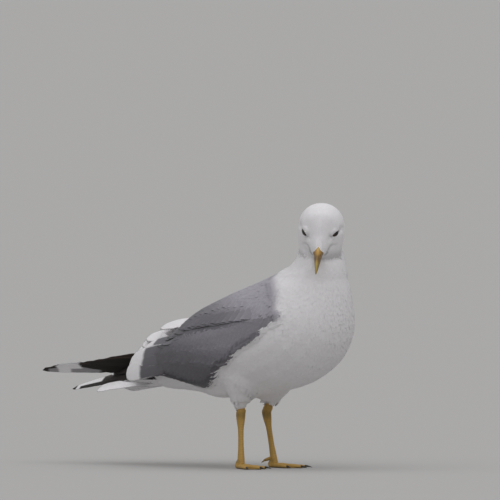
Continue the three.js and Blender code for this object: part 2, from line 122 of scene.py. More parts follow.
def unit(vectors):
    """Vectors scaled to length 1."""
    length = np.linalg.norm(vectors, axis=-1, keepdims=True)
    return vectors / np.maximum(length, 1e-12)


def flat_on(vectors, normals):
    """Vectors laid flat on the surfaces with these normals, at length 1."""
    return unit(vectors - normals * (vectors * normals).sum(-1, keepdims=True))


def ease(value, low, high):
    """0 below low, 1 above high, and a smooth step between."""
    t = np.clip((value - low) / (high - low), 0, 1)
    return t * t * (3 - 2 * t)


def hump(value, middle, width):
    """1 at the middle, falling off smoothly on both sides."""
    return np.exp(-(((value - middle) / width) ** 2))


def stacked(*arrays):
    """Arrays spread to one shape, as the columns of row points."""
    return np.stack(np.broadcast_arrays(*arrays), -1)


def linked(name, data):
    """A new object for the data, in the scene."""
    obj = bpy.data.objects.new(name, data)
    bpy.context.scene.collection.objects.link(obj)
    return obj


def fetched(items, key, width=1, kind=float):
    """One property of all the vertices, loops or edges of a mesh, as rows where it has a width."""
    values = np.empty(len(items) * width, kind)
    items.foreach_get(key, values)
    return values if width == 1 else values.reshape(-1, width)


def new_object(name, points, faces):
    """A mesh object; faces is an array with the same number of corners in each row, or a list."""
    mesh = bpy.data.meshes.new(name)
    if isinstance(faces, np.ndarray):
        count, corners = faces.shape
        mesh.vertices.add(len(points))
        mesh.vertices.foreach_set("co", np.asarray(points, np.float32).ravel())
        mesh.loops.add(count * corners)
        mesh.loops.foreach_set("vertex_index", faces.astype(np.int32).ravel())
        mesh.polygons.add(count)
        mesh.polygons.foreach_set("loop_start", np.arange(0, count * corners, corners, dtype=np.int32))
        mesh.update(calc_edges=True)
    else:
        mesh.from_pydata([tuple(p) for p in points], [], faces)
    mesh.shade_smooth()
    return linked(name, mesh)


def paint(obj, name, colours):
    """Writes a colour for each vertex."""
    rgba = np.concatenate([colours, np.ones((len(colours), 1))], 1)
    layer = obj.data.color_attributes.new(name, "FLOAT_COLOR", "POINT")
    layer.data.foreach_set("color", rgba.astype(np.float32).ravel())


def note(obj, name, values):
    """Writes a number or a vector for each vertex."""
    values = np.asarray(values, np.float32)
    kind, key = ("FLOAT", "value") if values.ndim == 1 else ("FLOAT_VECTOR", "vector")
    layer = obj.data.attributes.new(name, kind, "POINT")
    layer.data.foreach_set(key, values.ravel())


def lay_map(obj, name, uv):
    """Writes a UV map from a place for each vertex."""
    layer = obj.data.uv_layers.new(name=name)
    corner = fetched(obj.data.loops, "vertex_index", kind=np.int32)
    layer.uv.foreach_set("vector", uv[corner].astype(np.float32).ravel())


def finish_piece(obj, material, slot, *nodes):
    """Gives a piece its material and body, and hides the nodes that it stands for; its slot is not used."""
    obj.data.materials.append(material)
    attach(obj, "root")
    if nodes:
        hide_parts(*nodes)
    return obj


# ---- Shader helpers ----


class Value:
    """A shader value: arithmetic on it adds Math nodes."""

    def __init__(self, shader, socket):
        self.shader = shader
        self.socket = socket

    def __add__(self, other):
        return self.shader.math("ADD", self, other)

    def __radd__(self, other):
        return self.shader.math("ADD", other, self)

    def __sub__(self, other):
        return self.shader.math("SUBTRACT", self, other)

    def __rsub__(self, other):
        return self.shader.math("SUBTRACT", other, self)

    def __mul__(self, other):
        return self.shader.math("MULTIPLY", self, other)

    def __rmul__(self, other):
        return self.shader.math("MULTIPLY", other, self)

    def __abs__(self):
        return self.shader.math("ABSOLUTE", self)

    def sine(self):
        return self.shader.math("SINE", self)

    def above(self, low, high):
        """0 below low, 1 above high, with a smooth step between."""
        settings = {"interpolation_type": "SMOOTHSTEP"}
        inputs = {"Value": self, "From Min": low, "From Max": high}
        return self.shader.node("ShaderNodeMapRange", settings, inputs)


class Shader:
    """A material under construction, around one Principled shader."""

    def __init__(self, name, **constants):
        self.material = bpy.data.materials.new(name)
        self.material.use_nodes = True
        self.tree = self.material.node_tree
        self.surface = self.tree.nodes["Principled BSDF"]
        for socket, value in constants.items():
            self.surface.inputs[socket.replace("_", " ")].default_value = value

    def node(self, kind, settings=None, inputs=None, output=0):
        """Adds a node: its settings first, then the values or links of its sockets."""
        node = self.tree.nodes.new(kind)
        for name, value in (settings or {}).items():
            setattr(node, name, value)
        for key, value in (inputs or {}).items():
            self.feed(node.inputs[key], value)
        return Value(self, node.outputs[output])

    def feed(self, socket, value):
        if isinstance(value, Value):
            self.tree.links.new(value.socket, socket)
        else:
            socket.default_value = value

    def set(self, socket, value):
        self.feed(self.surface.inputs[socket], value)

    def math(self, operation, *operands):
        return self.node("ShaderNodeMath", {"operation": operation}, dict(enumerate(operands)))

    def attribute(self, name, output="Color"):
        return self.node("ShaderNodeAttribute", {"attribute_name": name}, output=output)

    def uv(self, name):
        """The two directions of a UV map."""
        vector = self.node("ShaderNodeUVMap", {"uv_map": name})
        across = self.node("ShaderNodeSeparateXYZ", inputs={0: vector}, output="X")
        return across, self.node("ShaderNodeSeparateXYZ", inputs={0: vector}, output="Y")

    def noise(self, scale, detail=2.0, vector=None):
        """Cloudy noise from 0 to 1, in the object's own coordinates."""
        where = vector or self.node("ShaderNodeTexCoord", output="Object")
        return self.node("ShaderNodeTexNoise", None, {"Vector": where, "Scale": scale, "Detail": detail})

    def mix(self, share, first, second, blend="MIX"):
        """Two colours mixed by a share from 0 to 1."""
        first, second = (c if isinstance(c, Value) else (*c, 1) for c in (first, second))
        settings = {"data_type": "RGBA", "blend_type": blend}
        return self.node("ShaderNodeMix", settings, {"Factor": share, 6: first, 7: second}, output=2)

    def multiplied(self, colour, level):
        """A colour made darker or lighter by a value."""
        grey = self.node("ShaderNodeCombineColor", None, {"Red": level, "Green": level, "Blue": level})
        return self.mix(1.0, colour, grey, "MULTIPLY")

    def bump(self, height, strength, distance):
        inputs = {"Height": height, "Strength": strength, "Distance": distance}
        self.set("Normal", self.node("ShaderNodeBump", None, inputs))


# ---- Sizes and colours a user would change ----


def colour_property(name, description, default):
    return bpy.props.FloatVectorProperty(
        name=name, description=description, subtype="COLOR", size=3, min=0, max=1, default=default
    )


def length_property(name, description, default):
    return bpy.props.FloatProperty(
        name=name, description=description, subtype="DISTANCE", unit="LENGTH", min=0, default=default
    )


def number_property(name, description, default, low=0.0, high=10.0):
    return bpy.props.FloatProperty(name=name, description=description, min=low, max=high, default=default)


class GullColours(bpy.types.PropertyGroup):
    """The bird's colours, as linear light."""

    white: colour_property("White", "Head, breast, belly and tail", (0.80, 0.785, 0.80))
    grey: colour_property("Grey", "Mantle and wings", (0.245, 0.235, 0.262))
    black: colour_property("Black", "Hand quills", (0.022, 0.018, 0.016))
    pale_web: colour_property("Pale web", "Grey inner webs of the hand quills", (0.30, 0.29, 0.30))
    bill_base: colour_property("Bill base", "Horn at the root of the bill", (0.42, 0.225, 0.035))
    bill_tip: colour_property("Bill tip", "Horn at the tip of the bill", (0.38, 0.275, 0.055))
    bill_shade: colour_property("Bill shade", "The dusky band and the mouth", (0.13, 0.072, 0.018))
    leg: colour_property("Leg", "Bare shins and toes", (0.56, 0.34, 0.085))
    # Also the colour of the painted shadow close to the floor.
    leg_dark_and_floor_shadow: colour_property("Leg shade", "Joints and the gaps between scales", (0.17, 0.115, 0.03))
    claw: colour_property("Claw", "Claws", (0.014, 0.011, 0.009))
    iris: colour_property("Iris", "Eyes", (0.022, 0.011, 0.006))


class GullSizes(bpy.types.PropertyGroup):
    """The coat's sizes."""

    voxel: length_property("Skin mesh", "Edge length of the skin's mesh", 0.0013)
    feather_scale: number_property("Feather scale", "Length of the small feathers", 1, 0.5, 2)
    crowding: number_property("Crowding", "How closely the small feathers stand", 1, 0.3, 2)


class GullStage(bpy.types.PropertyGroup):
    """The floor, lights and camera."""

    floor: colour_property("Floor", "The plain floor", (0.443, 0.438, 0.430))
    sky: colour_property("Surroundings", "Light from all sides", (0.34, 0.34, 0.338))
    lamp_power: number_property("Lamp power", "Strength of the soft light from overhead", 1.85)
    camera_distance: length_property("Camera distance", "From the camera to the bird", 14.0)


def colours():
    return bpy.context.scene.gull_colours


# ---- The skin ----

# Regions of the skin, by number.
FACE, CROWN, NECK, BREAST, BELLY, FLANK, RUMP, MANTLE, WING, THIGH = range(10)
# How deep the coat is over each region, in millimetres.
COAT_DEPTH = {
    FACE: 1.1, CROWN: 1.7, NECK: 1.9, BREAST: 2.5, BELLY: 2.8,
    FLANK: 2.6, RUMP: 2.2, MANTLE: 2.2, WING: 1.9, THIGH: 1.5,
}
FLESH = ["head", "neck", "trunk", "thigh_right", "thigh_left"] + [
    f"wing_{side}_{part}" for side in SIDES.values() for part in ("scapulars", "coverts")
]
FORMS = [*FLESH, "rump", "eye_right", "eye_left"]
# The line that the plumage flows along, from the bill through the neck to the tail.
FLOW_LINE = [
    in_head(33, 0, -6), in_head(20, 0, -6), in_head(6, 0, -5), in_head(-6, 0, -9),
    place(82, -1, 196), place(79, 0, 180), place(72, 0, 162), place(60, 0, 145),
    place(42, 0, 131), place(15, 0, 119), place(-20, 0, 110), place(-60, 0, 102),
    place(-100, 0, 93), place(-140, 0, 81), place(-170, 0, 74),
]
NAPE = 4  # the first of these below the head
# The line down each thigh, which its feathers follow.
LEG_LINES = {
    RIGHT: [place(6, -26, 84), place(0, -22, 66), place(-1.5, -20, 50)],
    LEFT: [place(8, 22, 86), place(0, 20, 72), place(-6.5, 18.5, 51)],
}


def curve_through(points, count):
    """Evenly spaced points on a smooth curve through the given ones."""
    pts = np.array([tuple(p) for p in points])
    padded = np.vstack([2 * pts[0] - pts[1], pts, 2 * pts[-1] - pts[-2]])
    fine = []
    for i in range(len(pts) - 1):
        a, b, c, d = padded[i : i + 4]
        t = np.linspace(0, 1, 40, endpoint=False)[:, None]
        fine.append(
            0.5 * (2 * b + (c - a) * t + (2 * a - 5 * b + 4 * c - d) * t**2 + (3 * b - a - 3 * c + d) * t**3)
        )
    fine = np.vstack([*fine, pts[-1:]])
    run = np.concatenate([[0], np.cumsum(np.linalg.norm(np.diff(fine, axis=0), axis=1))])
    even = np.linspace(0, run[-1], count)
    return np.stack([np.interp(even, run, fine[:, k]) for k in range(3)], 1)


def flow():
    """Places along the flow line, and which way it runs there."""
    samples = curve_through(FLOW_LINE, 70)
    return samples, unit(np.gradient(samples, axis=0))


def lie_of(points, region):
    """Which way the coat lies at each point, before it is laid flat, and how far along the bird it is."""
    samples, runs = flow()
    along = np.linspace(0, 1, len(samples))
    far = ((points[:, None, :] - samples[None]) ** 2).sum(2)
    weight = 1 / (far + 1e-6) ** 2.5
    of_head = np.isin(region, (FACE, CROWN))
    nape = int(((samples - np.array(FLOW_LINE[NAPE])) ** 2).sum(1).argmin())
    weight[np.ix_(~of_head, np.arange(len(samples)) < nape)] = 0
    weight /= weight.sum(1, keepdims=True)
    lie = weight @ runs
    station = weight @ along
    wing = (region == WING)[:, None]
    aft = np.array([0, 1, -0.3])
    lie = np.where(wing, 0.3 * unit(lie) + 0.7 * aft, lie)
    for line in LEG_LINES.values():
        leg = curve_through(line, 12)
        near = np.sqrt(((points[:, None, :] - leg[None]) ** 2).sum(2)).min(1) / MM
        share = (1 - ease(near, 14, 26)) * (1 - ease(points[:, 2] / MM, 66, 78))
        down = unit(leg[-1] - leg[0])
        lie = lie * (1 - share[:, None]) + down * share[:, None]
    return unit(lie), station


# Rings round the end of the trunk that the tail feathers grow from: how far forward, top, bottom and
# half width.
RUMP_RINGS = [(-108, 102, 72, 21), (-122, 95, 72.5, 16), (-134, 87, 73, 11), (-146, 81, 74, 5)]


def rump_form():
    """The end of the trunk as an oval cone."""
    rings = []
    for forward, top, bottom, half in RUMP_RINGS:
        turns = np.arange(16) / 16 * 2 * math.pi
        up = (top + bottom) / 2 + np.sin(turns) * (top - bottom) / 2
        rings.append([tuple(place(forward, left, z)) for left, z in zip(np.cos(turns) * half, up)])
    points, faces = loft(rings)
    bm = bmesh.new()
    verts = [bm.verts.new(p) for p in points]
    for face in faces:
        bm.faces.new([verts[k] for k in face])
    bmesh.ops.recalc_face_normals(bm, faces=bm.faces)
    return bm


def smoothed(values, pairs, rounds, weight=0.5):
    """Values on the vertices, each moved towards the middle of its neighbours, round by round."""
    size = len(values)
    first, second = np.concatenate([pairs, pairs[:, ::-1]]).T
    degree = np.maximum(np.bincount(first, minlength=size), 1)
    values = np.array(values, float)
    columns = values.reshape(size, -1)
    for _ in range(rounds):
        for k in range(columns.shape[1]):
            mean = np.bincount(first, columns[second, k], minlength=size) / degree
            columns[:, k] += weight * (mean - columns[:, k])
    return columns.reshape(values.shape)


def vertex_normals(points, faces):
    """Smooth normals of a mesh of quads."""
    corner = points[faces]
    face_normal = np.cross(corner[:, 2] - corner[:, 0], corner[:, 3] - corner[:, 1])
    total = np.zeros_like(points)
    for k in range(4):
        for axis in range(3):
            total[:, axis] += np.bincount(faces[:, k], face_normal[:, axis], minlength=len(points))
    return unit(total)


OVERLAP = 0.45 * MM  # closes the gaps between the nodes


def remeshed(size):
    """One closed mesh of quads around all the forms, and the forms' own faces as a tree with their owners."""
    whole = bmesh.new()
    owners = []
    for number, node in enumerate(FORMS):
        if node == "rump":
            part = rump_form()
        else:
            part = bmesh.new()
            part.from_mesh(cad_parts[node].data)
        bmesh.ops.remove_doubles(part, verts=part.verts, dist=0.01 * MM)
        part.normal_update()
        for v in part.verts:
            v.co += v.normal * (-2 if node.startswith("eye") else 1) * OVERLAP
        made = bpy.data.meshes.new(node + "_form")
        part.to_mesh(made)
        part.free()
        whole.from_mesh(made)
        owners += [number] * (len(whole.faces) - len(owners))
        bpy.data.meshes.remove(made)
    tree = BVHTree.FromBMesh(whole)
    mesh = bpy.data.meshes.new("skin_form")
    whole.to_mesh(mesh)
    whole.free()
    form = linked("skin_form", mesh)
    remesh = form.modifiers.new("Remesh", "REMESH")
    remesh.mode = "VOXEL"
    remesh.voxel_size = size
    solved = form.evaluated_get(bpy.context.evaluated_depsgraph_get())
    made = solved.to_mesh()
    points = fetched(made.vertices, "co", 3)
    faces = fetched(made.loops, "vertex_index", kind=np.int32).reshape(-1, 4)
    edges = fetched(made.edges, "vertices", 2, np.int32)
    solved.to_mesh_clear()
    bpy.data.objects.remove(form)
    return points, faces, edges, tree, np.array(owners)


def outer_shell(points, faces, edges):
    """Keeps the largest connected part, without the closed pockets left between the nodes."""
    label = np.arange(len(points))
    while True:
        low = label.copy()
        np.minimum.at(low, edges[:, 0], label[edges[:, 1]])
        np.minimum.at(low, edges[:, 1], label[edges[:, 0]])
        low = low[low]
        if (low == label).all():
            break
        label = low
    keep = label == np.bincount(label).argmax()
    index = np.cumsum(keep) - 1
    faces = index[faces[keep[faces[:, 0]]]]
    edges = index[edges[keep[edges[:, 0]]]]
    return points[keep], faces, edges


def regions_of(points, nodes):
    """The region number at each point, from the node that it came from."""
    forward, left, up = to_bird(points).T
    head_x = to_head(points)[:, 0]
    front = ease(forward, 25, 45)
    region = np.full(len(points), FLANK)
    region[up < 92 - 0.25 * np.abs(left)] = BELLY
    region[front > 0.5] = BREAST
    region[forward < -98] = RUMP
    region[up > 178] = NECK
    for number, node in enumerate(FORMS):
        mine = nodes == number
        if node == "head" or node.startswith("eye"):
            region[mine] = np.where(head_x[mine] > 5, FACE, CROWN)
        elif node == "neck":
            region[mine] = NECK
        elif node == "rump":
            region[mine] = RUMP
        elif node.startswith("thigh"):
            region[mine] = THIGH
        elif node.endswith("scapulars"):
            region[mine] = MANTLE
        elif node.endswith("coverts"):
            region[mine] = WING
    return region


def shades(points, region, edges):
    """How grey the plumage is at each point, from 0 to 1: it fades softly at the nape."""
    forward, left, up = to_bird(points).T
    grey = np.isin(region, (MANTLE, WING)).astype(float)
    grey[(forward < -70) & (left > -4) & (up > 122 + 0.54 * (forward + 78))] = 0
    soft = ease(up, 135, 160)
    return smoothed(grey, edges, 3) * (1 - soft) + smoothed(grey, edges, 30) * soft


def painted_light_on_grey(points, region):
    """How light the grey is at each point, as painted light and shade: it darkens towards the rear of the
    shoulders and down the wing, where less light falls.
    """
    forward, _, up = to_bird(points).T
    shoulders = 0.56 + 0.92 * ease(up + 0.25 * forward, 132, 174)
    coverts = 0.43 + 0.50 * ease(up + 0.25 * forward, 88, 128)
    return np.where(region == WING, coverts, shoulders)


def plumage_colours(shade, level):
    """The colour for each shade from white to grey, where level is the painted light and shade on the grey.
    """
    white = np.array(colours().white)
    grey = np.array(colours().grey) * np.asarray(level)[..., None]
    return white + (grey - white) * np.asarray(shade)[..., None]


def fluffed(points):
    """Lowers the loose feathers at the flanks and thighs and the shoulders' rear, and slims the nape."""
    forward, left, up = to_bird(points).T
    flank = 6.5 * hump(forward, -28, 26) * hump(np.abs(left), 25, 16)
    drop = flank * (1 - ease(up, 78, 100))
    for line in LEG_LINES.values():
        around = np.linalg.norm(points[:, :2] - np.array(line[1])[:2], axis=1) / MM
        skirt = 9 * np.clip(1 - around / 30, 0, 1) ** 1.3
        drop = np.maximum(drop, skirt * ease(up, 60, 68) * (1 - ease(up, 80, 100)))
    drop += 11 * ease(-forward, 55, 105) * ease(up, 108, 126)
    nape = 1.7 * hump(up, 188, 13) * ease(78 - forward - left, 4, 18)
    moved = points.copy()
    moved[:, 0] += nape * MM
    moved[:, 1] -= nape * MM
    moved[:, 2] -= drop * MM
    return moved


SKIN_FRONT = 29.0  # how far forward the forehead reaches before it is drawn out, in the head's frame
UNDER_COAT = 2.0  # how far the skin stays behind the feathers' front on the bill


def funnelled(points):
    """The forehead runs out smoothly on to the sides of the bill, above the mouth."""
    x, y, z = to_head(points).T
    from_middle = np.hypot(y / 4.5, (z + 6.4) / 6.8)
    flank = np.clip(np.abs(y) / 4.5, 0, 1)
    reach = bare_from(flank) - UNDER_COAT - SKIN_FRONT
    push = reach * np.exp(-((np.maximum(from_middle - 1, 0) / 0.62) ** 1.4))
    push *= ease(z, -10.5, -6.5) * ease(x, 19, 25) * (1 - ease(z, 3, 9))
    return points + np.array((HEAD_AXES @ Vector((1, 0, 0)))[:]) * push[:, None] * MM


def near_eyes(points):
    """How far each point is from the nearer eye, in millimetres."""
    middles = [np.array(middle_of(f"eye_{name}")) for name in SIDES.values()]
    return np.min([np.linalg.norm(points - middle, axis=-1) for middle in middles], axis=0) / MM


def nearest(tree, points):
    """The nearest place, normal and face on a tree for each point."""
    found = [tree.find_nearest(p) for p in points.tolist()]
    place_of = np.array([tuple(f[0]) for f in found])
    normal = np.array([tuple(f[1]) for f in found])
    return place_of, normal, np.array([f[2] for f in found])


# How long and how wide an eye's opening is against the eyeball.
SLIT_LENGTH = 0.92
SLIT_WIDTH = 0.33
# Which way each slit runs, and how far the eyeball's middle is from the node's, in the head's frame.
EYE_RUN = {RIGHT: (0.80, 0.47, -0.10), LEFT: (0.80, -0.53, 0.05)}
EYE_SHIFT = {RIGHT: (0.4, -1.4, 0.25), LEFT: (0.4, 1.2, -0.3)}


def eye_axes(side):
    """An eyeball's middle, and the axes of its opening: along the slit, across it and outward."""
    facing = (HEAD_AXES @ Vector((0.47, side * 0.86, 0.24))).normalized()
    along = HEAD_AXES @ Vector(EYE_RUN[side])
    along = (along - facing * along.dot(facing)).normalized()
    centre = middle_of(f"eye_{SIDES[side]}") + HEAD_AXES @ Vector(EYE_SHIFT[side]) * MM
    return np.array(centre), np.array([along, facing.cross(along), facing])


def to_eye(side, points):
    """Row points in an eye's own axes, in which the eyeball is round; in millimetres."""
    centre, axes = eye_axes(side)
    return (points - centre) @ axes.T / MM / (1, 1, EYE_BULGE)


def from_eye(side, local):
    """The way back from an eye's own axes."""
    centre, axes = eye_axes(side)
    return local * (1, 1, EYE_BULGE) @ axes * MM + centre


def in_opening(side, points):
    """Where each point is seen from the eye's middle: below 1 is inside the almond-shaped opening."""
    look = unit(to_eye(side, points))
    shape = (np.abs(look[..., 0]) / SLIT_LENGTH) ** 1.6 + (np.abs(look[..., 1]) / SLIT_WIDTH) ** 2
    return np.where(look[..., 2] > 0, shape, 9.0)


def open_eyes(points):
    """Clears the skin out of the eyes' openings and lays it over the rest of the eyeballs."""
    for side in SIDES:
        local = to_eye(side, points)
        far = np.linalg.norm(local, axis=1)
        opening = in_opening(side, points)
        close = far < EYE_RADIUS + 6
        share = ease(opening, 1.0, 2.0)
        rim = EYE_RADIUS + 0.2
        level = rim * (1 - share) + np.maximum(far, rim) * share
        level[opening < 0.8] = EYE_RADIUS - 1.2
        points[close] = from_eye(side, unit(local[close]) * level[close, None])
    return points


def round_eyes(points, lie):
    """The lie turned aside near each eye, so that the coat parts before it and runs on round it."""
    for side in SIDES:
        _, axes = eye_axes(side)
        local = to_eye(side, points)
        out = unit(local[:, :2]) @ axes[:2]
        close = 1 - ease(np.linalg.norm(local, axis=1), EYE_RADIUS + 1, EYE_RADIUS + 6)
        toward = np.minimum((lie * out).sum(1), 0)
        lie = lie + out * (close * (0.45 - toward))[:, None]
    return unit(lie)


def over_eyes(spots):
    """Whether any of a feather's places comes over an eye."""
    over = np.zeros(len(spots), bool)
    for side in SIDES:
        near = np.linalg.norm(to_eye(side, spots), axis=-1) < EYE_RADIUS + 4
        over |= (near & (in_opening(side, spots) < 1)).any(1)
    return over


def face_under(surface, points):
    """The nearest place on a surface, the corners of its face there and each corner's share of it."""
    spot, _, face = nearest(surface.tree, points)
    corner = surface.faces[face]
    share = 1 / (np.linalg.norm(surface.points[corner] - spot[:, None], axis=2) + 1e-6)
    return spot, corner, share / share.sum(1, keepdims=True)


class Skin:
    """The finished skin as arrays, and a tree for the nearest place on it."""

    def __init__(self):
        mesh = bpy.data.objects["skin"].data
        self.points = fetched(mesh.vertices, "co", 3)
        self.faces = fetched(mesh.loops, "vertex_index", kind=np.int32).reshape(-1, 4)
        self.normals = vertex_normals(self.points, self.faces)
        written = mesh.attributes
        self.region = fetched(written["Region"].data, "value").astype(int)
        self.depth = fetched(written["Depth"].data, "value")
        self.shade = fetched(written["Shade"].data, "value")
        self.station = fetched(written["Station"].data, "value")
        self.lie = fetched(written["Lie"].data, "vector", 3)
        self.tree = BVHTree.FromPolygons(self.points.tolist(), self.faces.tolist())

    def at(self, points):
        """The skin nearest to each point: its place and smooth normal, and what is written on it."""
        spot, corner, share = face_under(self, points)
        closest = corner[np.arange(len(corner)), share.argmax(1)]
        return SimpleNamespace(
            place=spot,
            normal=unit((self.normals[corner] * share[..., None]).sum(1)),
            lie=unit((self.lie[corner] * share[..., None]).sum(1)),
            depth=(self.depth[corner] * share).sum(1),
            shade=(self.shade[corner] * share).sum(1),
            region=self.region[closest],
            station=(self.station[corner] * share).sum(1),
        )


def plumage_material(name, fineness=1.0):
    """Soft barbed plumage in the colour written on the feathers."""
    shader = Shader(name, Sheen_Weight=0.12, Sheen_Roughness=0.5, Specular_IOR_Level=0.25)
    tint = shader.attribute("Plumage")
    across, along = shader.uv("Vane")
    barbs = (along * (95 * fineness) + abs(across - 0.5) * (46 * fineness)).sine()
    cloud = shader.noise(260.0, 3.0)
    shade = 0.965 + barbs * 0.02 + cloud * 0.045
    shader.set("Base Color", shader.multiplied(tint, shade))
    shader.set("Roughness", 0.78 + cloud * 0.12)
    shader.bump(barbs, 0.25, 0.00008)
    return shader.material


class GULL_OT_skin(bpy.types.Operator):
    """Makes one closed skin in place of all the flesh, set in by the depth of the coat"""

    bl_idname = "gull.skin"
    bl_label = "Skin"

    def execute(self, context):
        points, faces, edges, tree, owners = remeshed(context.scene.gull_sizes.voxel)
        points, faces, edges = outer_shell(points, faces, edges)
        points = smoothed(points, edges, 14)
        by_eyes = 1 - ease(near_eyes(points), 6, 11)[:, None]
        points = points * (1 - by_eyes) + smoothed(points, edges, 30) * by_eyes
        points = fluffed(points)
        region = regions_of(points, owners[nearest(tree, points)[2]])
        front = smoothed(np.isin(region, (MANTLE, WING)), edges, 20)
        step = (4 * front * (1 - front) * (to_bird(points)[:, 0] > 20))[:, None]
        points = points * (1 - step) + smoothed(points, edges, 40) * step
        points = funnelled(points)
        region = regions_of(points, owners[nearest(tree, points)[2]])
        lie, station = lie_of(points, region)
        normals = vertex_normals(points, faces)
        lie = flat_on(round_eyes(points, smoothed(lie, edges, 10)), normals)
        depth = smoothed(np.vectorize(COAT_DEPTH.get)(region).astype(float), edges, 12) * MM
        depth *= 0.55 + 0.45 * ease(near_eyes(points), 6, 11)
        groove = 0.6 * MM * crease_depth(points - normals * depth[:, None])
        points = open_eyes(points - normals * (depth + groove)[:, None])
        skin = new_object("skin", points, faces)
        shade = shades(points, region, edges)
        level = painted_light_on_grey(points, region)
        # The skin's colour carries painted light and shade: the grey lighter above and darker below, and
        # painted shadows on the face.
        paint(skin, "Plumage", plumage_colours(shade, level) * painted_face_shadow(points, region)[:, None])
        written = {"Region": region, "Depth": depth, "Shade": shade, "Station": station, "Lie": lie}
        for name, values in written.items():
            note(skin, name, values)
        finish_piece(skin, skin_material(), "white_plumage", *FLESH)
        return {"FINISHED"}


def skin_material():
    """The down next to the skin, in the coat's own colours."""
    shader = Shader("Down", Roughness=0.9, Specular_IOR_Level=0.2)
    tint = shader.attribute("Plumage")
    cloud = shader.noise(500.0, 4.0)
    shader.set("Base Color", shader.multiplied(tint, 0.82 + cloud * 0.2))
    shader.bump(cloud, 0.5, 0.0004)
    return shader.material


# ---- Small feathers ----


def blade_grid(rows, columns):
    """The faces of one closed feather: a root point, rows of points above and below, and a tip point."""
    inner = columns - 2
    top = 1
    under = top + rows * columns
    tip = under + rows * inner

    def upper(r, c):
        return top + r * columns + c

    def lower(r, c):
        return upper(r, c) if c in (0, columns - 1) else under + r * inner + c - 1

    quads = []
    fans = []
    for c in range(columns - 1):
        fans += [(0, upper(0, c), upper(0, c + 1), 1), (0, lower(0, c + 1), lower(0, c), -1)]
        last = rows - 1
        fans += [(tip, upper(last, c + 1), upper(last, c), 1), (tip, lower(last, c), lower(last, c + 1), -1)]
        for r in range(last):
            quads.append((upper(r, c), upper(r + 1, c), upper(r + 1, c + 1), 1))
            quads.append((upper(r, c), upper(r + 1, c + 1), upper(r, c + 1), 1))
            quads.append((lower(r, c), lower(r + 1, c + 1), lower(r + 1, c), -1))
            quads.append((lower(r, c), lower(r, c + 1), lower(r + 1, c + 1), -1))
    faces = np.array(fans + quads)
    return faces[:, :3], faces[:, 3], tip + 1


def vane_profile(t, blunt):
    """Half width of a feather along its length, from 0 to 1."""
    return np.clip(np.sin(math.pi * np.clip(t, 0, 1) ** blunt), 0, 1) ** 0.62


def ribs(skin, roots, spec, rng):
    """The middle line of each feather, without those that would bend sharply or cover an eye."""
    count = len(roots.place)
    length = np.asarray(spec.length) * MM * rng.uniform(1 - spec.vary, 1 + spec.vary, count)
    width = np.asarray(spec.width) * MM * rng.uniform(1 - spec.vary, 1 + spec.vary, count)
    side = np.cross(roots.normal, roots.lie)
    run = unit(roots.lie + side * rng.normal(0, spec.stray, count)[:, None])
    stations = np.sin(np.linspace(0, math.pi / 2, spec.rows + 2)) ** 0.85
    spots, normals, shade = walked(skin, roots, run, length[:, None] * np.diff(stations))
    bend = (normals[:, 1:] * normals[:, :-1]).sum(-1).min(1)
    flows = (bend > spec.least_bend) & ~over_eyes(spots)
    roots = picked(roots, flows)
    spots, normals, shade, length, width = (each[flows] for each in (spots, normals, shade, length, width))
    top_rise = rng.uniform(*spec.rise, len(length))[:, None]
    settle = 1 - (1 - stations) ** spec.settle
    height = roots.depth[:, None] * (spec.start + (top_rise - spec.start) * settle)
    centre = spots + normals * (height + spec.lift * MM * stations**2)[..., None]
    course = unit(np.gradient(centre, axis=1))
    twist = rng.normal(0, spec.twist, len(length))[:, None, None]
    return SimpleNamespace(
        roots=roots,
        stations=stations,
        shade=shade,
        normals=normals,
        centre=centre,
        course=course,
        across=unit(unit(np.cross(normals, course)) + normals * twist),
        length=length[:, None, None],
        half=width[:, None] / 2 * vane_profile(stations, spec.blunt),
    )


OWN_PATCH = 0.003  # width of each feather's own patch on the OFBake map
SWEEP = 0.16  # how far a feather's edges lie behind its middle, against its length
FRINGE_FADE = 0.28  # how far along a feather its fringe takes to reach its full share


